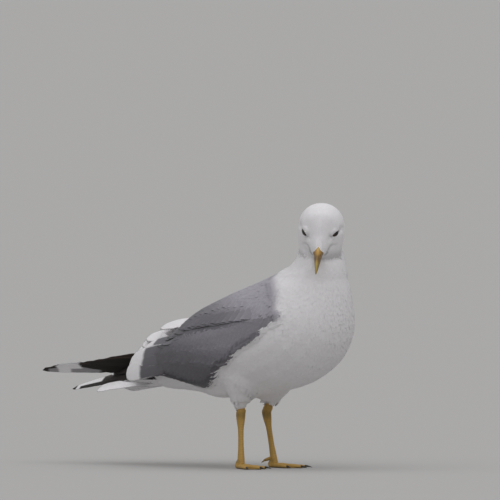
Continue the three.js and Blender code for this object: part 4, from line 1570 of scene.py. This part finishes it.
def eyeball(side):
    """Rings round an eye's outward axis, with a slight bulge at the front."""
    turns = np.linspace(0, 2 * math.pi, EYE_AROUND, endpoint=False)
    rings = []
    for angle in np.radians(np.linspace(2, 178, EYE_RINGS)):
        radius = EYE_RADIUS * (1 + 0.035 * hump(angle, 0, 0.6))
        local = stacked(math.sin(angle) * np.cos(turns), math.sin(angle) * np.sin(turns), math.cos(angle))
        rings.append(from_eye(side, radius * local))
    return loft(rings)


def eye_material():
    """A wet, almost black eye: the pupil, a dark brown iris with faint streaks, and the dark rim."""
    shader = Shader("Eye", Roughness=0.2, Specular_IOR_Level=0.3, Coat_Weight=0.12, Coat_Roughness=0.04)
    iris = colours().iris
    _, out = shader.uv("Eye")
    streaks = shader.noise(700.0, 3.0)
    brown = shader.mix(streaks, iris, tuple(c * 2.2 for c in iris))
    ring = out.above(0.13, 0.15) * (1 - out.above(0.27, 0.31))
    shader.set("Base Color", shader.mix(ring, (0.006, 0.005, 0.005), brown))
    return shader.material


LID_STEPS = [(-3.0, -0.4), (-1.0, 0.2), (1.5, 0.4), (4.0, 0.4)]  # degrees out from the rim, and height
LIDS_END = 12.0  # degrees out from the rim, where the lids run in under the feathers
LID_TURNS = 72  # points round an opening


def eyelids(side, skin):
    """A closed band round the opening: it rolls over the eyeball's edge and runs out under the feathers."""
    turns = np.linspace(0, 2 * math.pi, LID_TURNS, endpoint=False)
    low, high = np.full(LID_TURNS, 0.3), np.full(LID_TURNS, 0.99)
    for _ in range(30):
        middle = (low + high) / 2
        reach = (middle * np.abs(np.cos(turns)) / SLIT_LENGTH) ** 1.6
        inside = reach + (middle * np.abs(np.sin(turns)) / SLIT_WIDTH) ** 2 < 1
        low, high = np.where(inside, middle, low), np.where(inside, high, middle)
    rim = np.arcsin(low)

    def ring(degrees, height):
        angle = rim + math.radians(degrees)
        look = np.stack([np.sin(angle) * np.cos(turns), np.sin(angle) * np.sin(turns), np.cos(angle)], 1)
        return look * (EYE_RADIUS + height)

    def on_skin(degrees):
        flat = ring(degrees, 0)
        starts = from_eye(side, flat * 3)
        ways = unit(from_eye(side, flat) - starts)
        hits = [skin.tree.ray_cast(Vector(s), Vector(w))[0] for s, w in zip(starts, ways)]
        places = [from_eye(side, f) if h is None else np.array(h) for f, h in zip(flat, hits)]
        far = np.linalg.norm(to_eye(side, np.array(places)), axis=1)
        level = np.clip(far - 0.15, EYE_RADIUS + 0.1, EYE_RADIUS + 3.0)
        return unit(flat) * level[:, None]

    upper = [ring(degrees, height) for degrees, height in LID_STEPS]
    skin_ring = on_skin(LIDS_END)
    last = LID_STEPS[-1][0]
    for share in (0.35, 0.7, 1.0):
        upper.append(ring(last + share * (LIDS_END - last), 0.35) * (1 - share) + skin_ring * share)
    under = [points * 0.94 for points in reversed(upper[1:])]
    return loft([from_eye(side, points) for points in [*upper, *under]], closed=True)


def lid_material():
    """Bare lids: a narrow dusky rim, then pale skin with fine wrinkles."""
    shader = Shader("Eyelids", Roughness=0.55, Specular_IOR_Level=0.35)
    _, step = shader.uv("Lid")
    rim = 1 - step.above(0.06, 0.14)
    wrinkles = (step * 90).sine() * 0.5 + shader.noise(1500.0, 3.0)
    pale = shader.mix(wrinkles * 0.25, colours().white, (0.5, 0.47, 0.46))
    shader.set("Base Color", shader.mix(rim, pale, (0.10, 0.075, 0.07)))
    shader.bump(wrinkles, 0.3, 0.0001)
    return shader.material


class GULL_OT_eyes(bpy.types.Operator):
    """Makes both eyes, and the lids that close round them"""

    bl_idname = "gull.eyes"
    bl_label = "Eyes and lids"

    def execute(self, context):
        skin = Skin()
        eye, lid = eye_material(), lid_material()
        for side, name in SIDES.items():
            obj = joined(f"eyeball_{name}", [eyeball(side)])
            lay_map(obj, "Eye", grid_map(EYE_RINGS, EYE_AROUND))
            finish_piece(obj, eye, "eye", f"eye_{name}")
            band = joined(f"eyelids_{name}", [eyelids(side, skin)])
            lay_map(band, "Lid", grid_map(len(band.data.vertices) // LID_TURNS, LID_TURNS))
            finish_piece(band, lid, "white_plumage")
        return {"FINISHED"}


# ---- Bill ----

BILL_BASE = 27.0  # where the bill's length is counted from, in the head's frame
BILL_LENGTH = 34.5
BILL_HIDDEN = -0.07  # how far the horn runs back under the feathers, as a share of its length
INSIDE = 7  # points across the inner face of each half
OUTSIDE = 29  # points over the ridge of the upper half
LOWER_ENDS = 0.95  # the lower half's end, as a share of the length
RIDGE_BARE = 31.8  # where the ridge comes out of the feathers


def bare_from(flank):
    """How far out the feathers reach on the horn, from its ridge, at 0, down to its edge, at 1."""
    return RIDGE_BARE + 6.2 * flank**0.75 * (1 - 0.75 * flank**5)


def bill_half(t):
    """Half the bill's width at a share of its length."""
    return 4.6 * (1 - 0.78 * t - 0.1 * t**4)


def culmen(t):
    """The ridge's height."""
    return 0.4 - 1.6 * t - 7.0 * t**5


def mouth_line(t):
    """The height where the halves meet."""
    return -6.4 - 0.9 * t - 1.1 * t**4


def keel(t):
    """The lower edge, with its angle at the gonys."""
    rise = np.minimum(np.maximum(t, 0) / 0.62, 1) ** 3
    return -12.2 + 1.1 * rise + 2.6 * (np.maximum(t - 0.62, 0) / 0.38) ** 1.3


def head_points(x, y, z):
    """Arrays of places in the head's frame as row points."""
    return stacked(x, y, z) * MM @ np.array(HEAD.to_3x3()).T + np.array(HEAD.translation)


def upper_bill():
    """The upper half: a ridged culmen with a hooked tip, slit nostrils and a groove before them."""
    t = np.linspace(BILL_HIDDEN, 1, 64)[:, None]
    angle = np.radians(np.linspace(0, 180, OUTSIDE))[None]
    sine, cosine = np.sin(angle), np.cos(angle)
    half, low = bill_half(np.maximum(t, 0)), mouth_line(t)
    gape = hump(t, 0.16, 0.08) * np.abs(cosine) ** 8
    y = cosine * (half + gape)
    z = low + (culmen(t) - low) * sine**0.8
    from_nostril = np.minimum(np.abs(angle - math.radians(31)), np.abs(angle - math.radians(149)))
    slit = hump(from_nostril, 0, 0.09) * np.exp(-(((t - 0.40) / 0.05) ** 4))
    groove = 0.35 * hump(from_nostril, 0, 0.22) * ease(t, 0.1, 0.3) * (1 - ease(t, 0.4, 0.6))
    inward = 0.75 * slit + 0.5 * groove
    y = y - np.sign(y) * inward * np.abs(cosine)
    z = z - inward * sine * 0.5
    palate = np.linspace(-1, 1, INSIDE + 2)[None, 1:-1]
    y = np.concatenate([y, palate * half * 0.96], 1)
    z = np.concatenate([z, low + 0.35 * (1 - palate**2)], 1)
    slit = np.concatenate([slit, np.zeros((len(t), INSIDE))], 1)
    return head_points(BILL_BASE + BILL_LENGTH * t, y, z), slit


def lower_bill():
    """The lower half, which ends just behind the hook."""
    t = np.linspace(BILL_HIDDEN, LOWER_ENDS, 56)[:, None]
    angle = np.radians(np.linspace(180, 360, 25))[None]
    half, top = bill_half(np.maximum(t, 0)) * 0.93, mouth_line(t) - 0.12
    y = np.cos(angle) * half
    z = top - (top - keel(t)) * np.abs(np.sin(angle)) ** 0.8
    inside = np.linspace(1, -1, INSIDE + 2)[None, 1:-1]
    y = np.concatenate([y, inside * half * 0.96], 1)
    z = np.concatenate([z, top - 0.3 * (1 - inside**2)], 1)
    return head_points(BILL_BASE + BILL_LENGTH * t, y, z)


def bill_material():
    """Ochre horn at the root, a dusky band past the nostrils and a greenish yellow tip, with a painted
    highlight on the ridge near the root.
    """
    shader = Shader("Bill", Specular_IOR_Level=0.5)
    hues = colours()
    slit = shader.attribute("Slit", "Fac")
    edge, along = shader.uv("Horn")
    cloud = shader.noise(260.0, 4.0)
    where = along + cloud * 0.14 - 0.07
    horn = shader.mix(where.above(0.58, 0.76), hues.bill_base, hues.bill_tip)
    band = where.above(0.36, 0.54) * (1 - where.above(0.60, 0.74))
    horn = shader.mix(band * 0.8, horn, hues.bill_shade)
    # A painted highlight: paler horn on the ridge near the root.
    painted_highlight = (1 - where.above(0.22, 0.42)) * edge.above(0.55, 0.95) * 0.6
    horn = shader.mix(painted_highlight, horn, (0.52, 0.37, 0.10))
    sides = (1 - edge.above(0.05, 0.55)) * 0.8
    horn = shader.mix(sides, horn, hues.bill_shade)
    tip = where.above(0.93, 1.03) * 0.5
    horn = shader.mix(tip, horn, hues.bill_shade)
    grain = (shader.noise(900.0, 3.0) - 0.5) * 0.3 + 1
    horn = shader.multiplied(horn, grain)
    shader.set("Base Color", shader.mix(slit.above(0.15, 0.6), horn, (0.012, 0.008, 0.005)))
    shader.set("Roughness", 0.34 + cloud * 0.16)
    shader.bump(shader.noise(1100.0, 3.0), 0.18, 0.00015)
    return shader.material


NASAL_FEATHERS = 2200
NASAL_BAND = 4.5  # how far back from the bare horn they stand


def nasal_roots(rng):
    """The horn's own surface and roots on its sides, which leave a point of horn bare on the ridge."""
    rings, _ = upper_bill()
    rings = rings[:, :OUTSIDE]
    points = rings.reshape(-1, 3)
    index = np.arange(len(points)).reshape(rings.shape[:2])
    quads = np.stack([index[:-1, :-1], index[:-1, 1:], index[1:, 1:], index[1:, :-1]], -1).reshape(-1, 4)
    normals = vertex_normals(points, quads)
    out = (rings - rings.mean(1)[:, None]).reshape(-1, 3)
    normals *= np.sign((normals * out).sum(1).mean())
    horn = SimpleNamespace(
        points=points,
        faces=quads,
        normals=normals,
        shade=np.zeros(len(points)),
        tree=BVHTree.FromPolygons(points.tolist(), quads.tolist()),
    )
    found = []
    for _ in range(NASAL_FEATHERS):
        angle = math.radians(rng.uniform(0, 180))
        x = bare_from(abs(math.cos(angle))) - NASAL_BAND * rng.random()
        t = (x - BILL_BASE) / BILL_LENGTH
        low = mouth_line(t)
        z = low + (culmen(t) - low) * math.sin(angle) ** 0.8
        found.append(tuple(in_head(x, math.cos(angle) * bill_half(max(t, 0)), z)))
    spots, normals, _ = skin_under(horn, np.array(found))
    count = len(spots)
    back = np.array(HEAD_AXES @ Vector((-1, 0, 0)))
    roots = SimpleNamespace(
        place=spots,
        normal=normals,
        lie=flat_on(np.broadcast_to(back, spots.shape), normals),
        depth=np.full(count, 0.4 * MM),
        region=np.full(count, FACE),
        shade=np.zeros(count),
        station=to_head(spots)[:, 0] / 40,
    )
    return horn, roots


class GULL_OT_bill(bpy.types.Operator):
    """Makes both halves of the bill and the small feathers that run out over its root"""

    bl_idname = "gull.bill"
    bl_label = "Bill"

    def execute(self, context):
        horn = bill_material()
        upper, slit = upper_bill()
        lower = lower_bill()
        self.half("upper", upper, slit, 1.0, 1.0, horn)
        self.half("lower", lower, np.zeros(lower.shape[:2]), 0.6, LOWER_ENDS, horn)
        rng = np.random.default_rng(77)
        surface, roots = nasal_roots(rng)
        spec = coat_spec(
            length=2.0, width=1.2, rows=2, columns=3, stray=0.08, thickness=0.05, least_bend=-1, lift=0.1,
        )
        plumage = plumage_material("Bill root plumage")
        feather_coat("coat_bill_root", surface, roots, spec, rng, plumage, "white_plumage")
        return {"FINISHED"}

    @staticmethod
    def half(name, rings, slit, ridge, end, material):
        """One half, with its map: across from 0 at its edges to the ridge's value, and along the bill."""
        obj = joined(f"{name}_bill", [loft(rings)])
        rows, around = rings.shape[:2]
        sides = (1 - np.abs(np.linspace(-1, 1, around - INSIDE))) * ridge
        sides = np.concatenate([sides, np.zeros(INSIDE)])
        along = np.linspace(BILL_HIDDEN, end, rows)[:, None]
        lay_map(obj, "Horn", stacked(sides, along).reshape(-1, 2))
        note(obj, "Slit", slit.ravel())
        finish_piece(obj, material, "bill_horn", f"bill_{name}")


# ---- Legs and feet ----

# Places of the joints as (forward, left, up), and how far each foot turns out, in degrees.
LEGS = {
    RIGHT: {"knee": (0, -22, 66), "ankle": (-1.5, -20, 50), "foot": (0.5, -21.5, 6), "toe_out": 10},
    LEFT: {"knee": (0, 20, 72), "ankle": (-6.5, 18.5, 51), "foot": (0, 22, 6), "toe_out": 4},
}
# Half sizes of the shank, fore and aft and across, from above the ankle joint down to the foot.
SHANK_SIZES = [
    (3.1, 2.9), (3.5, 3.1), (4.7, 3.9), (4.2, 3.2), (2.9, 2.3),
    (2.7, 2.1), (2.7, 2.1), (2.8, 2.3), (3.3, 2.7), (3.7, 3.0),
]
# Each toe's name, how far it turns out, in degrees, and its length.
TOES = [("inner", -21, 31), ("middle", 1, 37), ("outer", 23, 34)]
PLATE = 2.3  # height of a plate on the front of the shank
TOE_PLATE = 1.7
WEB_FOLDS = 7
ANKLE_RUN = {RIGHT: 10.5, LEFT: 14.0}  # from the top of the shank down to the ankle's knob


AHEAD = np.array([0.0, -1.0, 0.0])


def tube(points, fore, across, around, front):
    """Oval rings along a line of points; the middle of each ring's turn is its front."""
    run = unit(np.gradient(points, axis=0))
    ahead = flat_on(np.broadcast_to(front, points.shape), run)
    beside = np.cross(run, ahead)
    turns = (np.arange(around) / around - 0.5) * 2 * math.pi
    cosine, sine = np.cos(turns)[None, :, None], np.sin(turns)[None, :, None]
    fore, across = (np.reshape(size, (len(points), -1, 1)) for size in (fore, across))
    return points[:, None] + MM * (ahead[:, None] * cosine * fore + beside[:, None] * sine * across)


def shank_loft(side):
    """The bare shank with its plates in front, and its knobbed ankle."""
    leg = LEGS[side]
    knee, ankle, foot = (np.array(place(*leg[joint])) for joint in ("knee", "ankle", "foot"))
    upper = [knee + (ankle - knee) * share for share in (1 / 3, 2 / 3)]
    lower = [ankle + (foot - ankle) * share for share in np.linspace(0, 1, 8)]
    line = np.array([*upper, *lower])
    rows, around = 120, 28
    line = np.vstack([line[:1] * 2 - line[1], line, line[-1:] * 2 - line[-2]])
    sizes = np.array([SHANK_SIZES[0], *SHANK_SIZES, SHANK_SIZES[-1]])
    steps = np.linspace(0.4, len(line) - 1.7, rows)
    knots = np.arange(len(line))
    soft = np.ones(9) / 9

    def softened(values):
        padded = np.pad(np.interp(steps, knots, values), 4, mode="edge")
        return np.convolve(padded, soft, "valid")

    points = np.stack([np.interp(steps, knots, line[:, k]) for k in range(3)], 1)
    fore, across = softened(sizes[:, 0]), softened(sizes[:, 1])
    run = np.concatenate([[0], np.cumsum(np.linalg.norm(np.diff(points, axis=0), axis=1))]) / MM
    share_round = np.arange(around) / around
    turns = (share_round - 0.5) * 2 * math.pi
    plate = (run / PLATE % 1)[:, None] * (1 - ease(np.abs(turns), 0.7, 1.1))[None]
    below = ease(run, 12, 16)[:, None]
    wrinkle = np.sin(run * 3.1)[:, None] * (1 - below) * 0.10
    cord = 0.30 * hump(np.abs(turns), math.pi, 0.5) * below
    knob = hump(turns, -0.8, 0.75) * hump(run[:, None], ANKLE_RUN[side], 2.4)
    grow = 0.12 * plate * below + wrinkle + cord + 1.1 * knob
    hollow = -0.22 * hump(np.abs(turns), 1.9, 0.35) * below
    rings = tube(points, fore[:, None] + grow, across[:, None] + grow + hollow, around, AHEAD)
    return loft(rings), stacked(share_round, run[:, None] / PLATE)


def toe_frame(side, turn):
    """Where a toe starts on the floor, which way it runs, and across it."""
    leg = LEGS[side]
    forward, left, _ = leg["foot"]
    angle = math.radians(leg["toe_out"] + turn)
    run = np.array([math.sin(angle) * side, -math.cos(angle), 0.0])
    return np.array(place(forward - 2, left, 0)), run, np.array([-run[1], run[0], 0.0])


def toe_loft(side, turn, length):
    """A toe, flat below with pads, and plated above."""
    ball, run, across = toe_frame(side, turn)
    rows, around = 64, 20
    t = np.linspace(0, 1, rows)[:, None]
    knuckle = sum(hump(t, at, 0.07) for at in (0.36, 0.66, 0.90))
    end = np.sqrt(np.clip(1 - ((t - 0.93).clip(0) / 0.075) ** 2, 0.05, 1))
    half = (3.0 - 1.35 * t + 0.22 * knuckle) * end
    height = (4.9 - 2.6 * t + 0.25 * knuckle) * (0.35 + 0.65 * end)
    turns = (np.arange(around) / around * 2 * math.pi)[None]
    sine = np.sin(turns)
    run_mm = t * length
    plate = 0.16 * (run_mm / TOE_PLATE % 1) * np.clip(sine, 0, 1)
    middle = 1.5 - 0.4 * t
    above = middle + (height + plate - middle) * np.abs(sine) ** 0.85
    up = np.where(sine > 0, above, middle + (middle - 0.05) * sine)
    side_way = np.cos(turns) * half * np.where(sine < 0, 0.96, 1)
    spots = ball + run * (run_mm - 2)[..., None] * MM + across * side_way[..., None] * MM
    spots[..., 2] = up * MM
    return loft(spots), stacked((turns / 2 / math.pi + 0.25) % 1, run_mm / TOE_PLATE)


def web_loft(side, first, second):
    """The web between two toes: thin, sagging a little, with fine folds and a scalloped rim."""
    ball, run_a, _ = toe_frame(side, first[1])
    _, run_b, _ = toe_frame(side, second[1])
    s = np.linspace(0, 1, 25)[:, None]
    r = np.linspace(0.12, 1, 26)[None]
    run = unit(run_a * (1 - s) + run_b * s)[:, None]
    length = (first[2] + (second[2] - first[2]) * s) * (0.95 - 0.62 * s * (1 - s))
    flat = ball + run * (length * r)[..., None] * MM
    sag = np.sin(math.pi * s)
    folds = 0.10 * np.sin(s * 2 * math.pi * WEB_FOLDS) * sag * ease(r, 0.2, 0.7)
    ridges = 0.05 * np.sin(length * r * 3.2)
    top = 1.5 - 0.45 * sag * r - 0.25 * r + folds + ridges
    under = np.maximum(top - 0.75 + 0.2 * ease(r, 0.9, 1), 0.05)
    above, below = flat.copy(), flat.copy()
    above[..., 2] = top * MM
    below[..., 2] = under * MM
    rings = np.concatenate([above, below[:, ::-1]], 1)
    around = np.concatenate([r, r[:, ::-1]], 1)
    return loft(rings), stacked(np.full_like(s, 0.5), around * 16)


def heel_loft(side):
    """The rounded heel between the shank and the toes."""
    forward, left, _ = LEGS[side]["foot"]
    t = np.linspace(0, 1, 16)
    line = np.array([place(forward - 3.3 + 2.6 * a, left, 0.4 + 6.4 * a) for a in t])
    fore = np.interp(t, [0, 0.25, 0.6, 1], [3.0, 4.5, 4.3, 3.7])
    across = np.interp(t, [0, 0.25, 0.6, 1], [2.9, 3.7, 3.4, 3.0])
    rings = tube(line, fore, across, 24, AHEAD)
    rings[..., 2] = np.maximum(rings[..., 2], 0.05 * MM)
    return loft(rings), grid_map(*rings.shape[:2], 0, 3)


def hallux_loft(side):
    """The small hind toe with its own short claw."""
    forward, left, _ = LEGS[side]["foot"]
    start = np.array(place(forward - 1, left - side, 9.4))
    end = np.array(place(forward - 10.9, left - side * 5.6, 5.4))
    t = np.linspace(0, 1, 34)
    line = start + (end - start) * t[:, None]
    line[:, 2] -= 0.9 * MM * ease(t, 0.7, 1.0)
    radius = np.interp(t, [0, 0.2, 0.45, 0.68, 0.76, 0.9, 1], [1.4, 1.5, 1.5, 1.2, 0.85, 0.5, 0.16])
    radius = radius + 0.08 * np.sin(t * 55) * (t < 0.7)
    rings = tube(line, radius, radius * 0.9, 16, np.array([0.0, 0.0, 1.0]))
    return loft(rings), grid_map(*rings.shape[:2], 0, 8)


def claw_loft(side, turn, length):
    """A short curved claw, grooved below."""
    ball, run, across = toe_frame(side, turn)
    t = np.linspace(0, 1, 22)[:, None]
    turns = (np.arange(16) / 16 * 2 * math.pi)[None]
    half = 1.0 * (1 - t) ** 0.75 + 0.08
    up = 1.75 - 0.1 * t - 1.2 * t**2.2 + np.sin(turns) * half
    ahead = np.broadcast_to(length - 2.6 + 7.0 * t, up.shape)
    spots = ball + run * ahead[..., None] * MM
    spots = spots + across * (np.cos(turns) * half)[..., None] * MM
    spots[..., 2] = np.maximum(up, 0.12) * MM
    return loft(spots)


def leg_material():
    """Ochre scaled skin: plates in front, a fine net at the sides, dark between them and at the joints, and a
    painted shadow close to the floor.
    """
    shader = Shader("Leg skin", Specular_IOR_Level=0.4)
    around, plates = shader.uv("Scales")
    joint_dark_and_floor_shadow = shader.attribute("JointDarkAndFloorShadow", "Fac")
    front = 1 - abs(around - 0.5).above(0.14, 0.22)
    gaps = (plates * (2 * math.pi)).sine().above(0.80, 0.97)
    where = shader.node("ShaderNodeTexCoord", output="Object")
    settings = {"feature": "DISTANCE_TO_EDGE"}
    net = shader.node("ShaderNodeTexVoronoi", settings, {"Vector": where, "Scale": 950.0})
    net = 1 - net.above(0.02, 0.14)
    lines = gaps * front + net * (1 - front) * 0.8
    cloud = shader.noise(240.0, 4.0)
    skin = shader.mix(cloud * 0.5, colours().leg, tuple(c * 0.62 for c in colours().leg))
    # Dark scale gaps and joints, and the painted shadow near the floor.
    dark = shader.math("MAXIMUM", lines * 0.30, joint_dark_and_floor_shadow * (0.5 + cloud * 0.7))
    shader.set("Base Color", shader.mix(dark, skin, colours().leg_dark_and_floor_shadow))
    shader.set("Roughness", 0.5 + cloud * 0.15)
    shader.bump(1 - lines, 0.45, 0.00025)
    return shader.material


def claw_material():
    """Almost black horn, a little worn at the tip."""
    shader = Shader("Claws", Specular_IOR_Level=0.5)
    cloud = shader.noise(800.0, 3.0)
    shader.set("Base Color", shader.mix(cloud * 0.5, colours().claw, (0.06, 0.045, 0.03)))
    shader.set("Roughness", 0.3 + cloud * 0.2)
    return shader.material


class GULL_OT_legs(bpy.types.Operator):
    """Makes the scaled shanks, the webbed feet with their hind toes, and the claws"""

    bl_idname = "gull.legs"
    bl_label = "Legs and feet"

    def execute(self, context):
        skin, horn = leg_material(), claw_material()
        for side, name in SIDES.items():
            parts = {
                f"shank_{name}": [shank_loft(side)],
                f"foot_{name}": [
                    heel_loft(side),
                    *[toe_loft(side, turn, length) for _, turn, length in TOES],
                    web_loft(side, TOES[0], TOES[1]),
                    web_loft(side, TOES[1], TOES[2]),
                ],
                f"hallux_{name}": [hallux_loft(side)],
            }
            for node, lofts in parts.items():
                obj = joined(f"scaled_{node}", [made for made, _ in lofts])
                lay_map(obj, "Scales", np.concatenate([uv.reshape(-1, 2) for _, uv in lofts]))
                self.darken(obj)
                finish_piece(obj, skin, "leg_skin", node)
            for toe, turn, length in TOES:
                claw = joined(f"horn_claw_{toe}_{name}", [claw_loft(side, turn, length)])
                finish_piece(claw, horn, "claw_horn", f"claw_{toe}_{name}")
        return {"FINISHED"}

    @staticmethod
    def darken(obj):
        """Writes how dark each point is: at the joints and at the hind claw, and as painted shadow close to
        the floor.
        """
        forward, _, up = to_bird(fetched(obj.data.vertices, "co", 3)).T
        ankle = hump(up, 49, 4.0) * 0.75
        heel = hump(up, 6.5, 1.6) * ease(-forward, -4, 0) * 0.6
        # Painted shadow close to the floor.
        floor_shadow = (1 - ease(up, 0.4, 2.2)) * 0.9
        hind = ease(-forward, 8.6, 9.6) * 1.2 * (up < 9)
        note(obj, "JointDarkAndFloorShadow", np.clip(ankle + heel + floor_shadow + hind, 0, 1))


# ---- Stage ----


FLOOR_RADIUS = 130.0  # its far edge stays above the top of the view
FRAME_WIDTH = 0.46  # how much of the scene the camera takes in at the bird
AIM = place(-4.7, -4.7, 200.7)
CAMERA_TURN = math.radians(-45)
CAMERA_RISE = math.radians(1.2)


class GULL_OT_stage(bpy.types.Operator):
    """Sets up the plain floor, the soft lights and the camera"""

    bl_idname = "gull.stage"
    bl_label = "Floor, lights and camera"

    def execute(self, context):
        scene = context.scene
        stage = scene.gull_stage
        rim = disc_points(FLOOR_RADIUS, 96)
        floor = new_object("floor", rim, [tuple(range(len(rim)))])
        shader = Shader("Floor", Roughness=0.95, Specular_IOR_Level=0.1)
        cloud = shader.noise(3.0)
        shader.set("Base Color", shader.mix(cloud * 0.06, stage.floor, (0.5, 0.5, 0.5)))
        floor.data.materials.append(shader.material)

        scene.world = bpy.data.worlds.new("Surroundings")
        scene.world.use_nodes = True
        sky = scene.world.node_tree.nodes["Background"]
        sky.inputs["Color"].default_value = (*stage.sky, 1)
        sky.inputs["Strength"].default_value = 1.0
        scene.view_settings.view_transform = "Standard"

        lamp = bpy.data.lights.new("Overhead", "SUN")
        lamp.angle = math.radians(100)
        lamp.energy = stage.lamp_power
        lamp.color = (0.985, 0.985, 1.0)
        overhead = linked("Overhead", lamp)
        overhead.location = (-0.5, -0.5, 2.4)
        ray = Vector((0.05, 0.05, 0)) - overhead.location
        overhead.rotation_euler = ray.to_track_quat("-Z", "Y").to_euler()

        level = math.cos(CAMERA_RISE)
        out = Vector((math.sin(CAMERA_TURN) * level, -math.cos(CAMERA_TURN) * level, math.sin(CAMERA_RISE)))
        view = bpy.data.cameras.new("Camera")
        view.sensor_width = 36
        view.lens = view.sensor_width * stage.camera_distance / FRAME_WIDTH
        view.clip_end = 200
        camera = linked("Camera", view)
        camera.location = AIM + out * stage.camera_distance
        camera.rotation_euler = out.to_track_quat("Z", "Y").to_euler()
        scene.camera = camera
        return {"FINISHED"}


def disc_points(radius, count):
    """A ring of points on the floor."""
    turns = np.arange(count) / count * 2 * math.pi
    return np.stack([radius * np.cos(turns), radius * np.sin(turns), np.zeros(count)], 1)


class GULL_PT_panel(bpy.types.Panel):
    """Lists the pieces in the order that they are made"""

    bl_idname = "GULL_PT_panel"
    bl_label = "Common gull"
    bl_space_type = "VIEW_3D"
    bl_region_type = "UI"
    bl_category = "Gull"

    def draw(self, context):
        for operator in OPERATORS:
            self.layout.operator(operator.bl_idname)
        for group in GROUPS:
            box = self.layout.box()
            settings = getattr(context.scene, group)
            for name in settings.bl_rna.properties.keys():
                if name not in ("rna_type", "name"):
                    box.prop(settings, name)


OPERATORS = [
    GULL_OT_stage, GULL_OT_skin, GULL_OT_coat, GULL_OT_quills, GULL_OT_eyes, GULL_OT_bill, GULL_OT_legs
]
GROUPS = {"gull_colours": GullColours, "gull_sizes": GullSizes, "gull_stage": GullStage}


def register():
    for kind in [*GROUPS.values(), *OPERATORS, GULL_PT_panel]:
        bpy.utils.register_class(kind)
    for name, kind in GROUPS.items():
        setattr(bpy.types.Scene, name, bpy.props.PointerProperty(type=kind))


def unregister():
    for name in GROUPS:
        delattr(bpy.types.Scene, name)
    for kind in reversed([*GROUPS.values(), *OPERATORS, GULL_PT_panel]):
        bpy.utils.unregister_class(kind)


def main():
    """Makes every piece in order."""
    register()
    for operator in OPERATORS:
        group, name = operator.bl_idname.split(".")
        getattr(getattr(bpy.ops, group), name)()


if __name__ == "__main__":
    main()
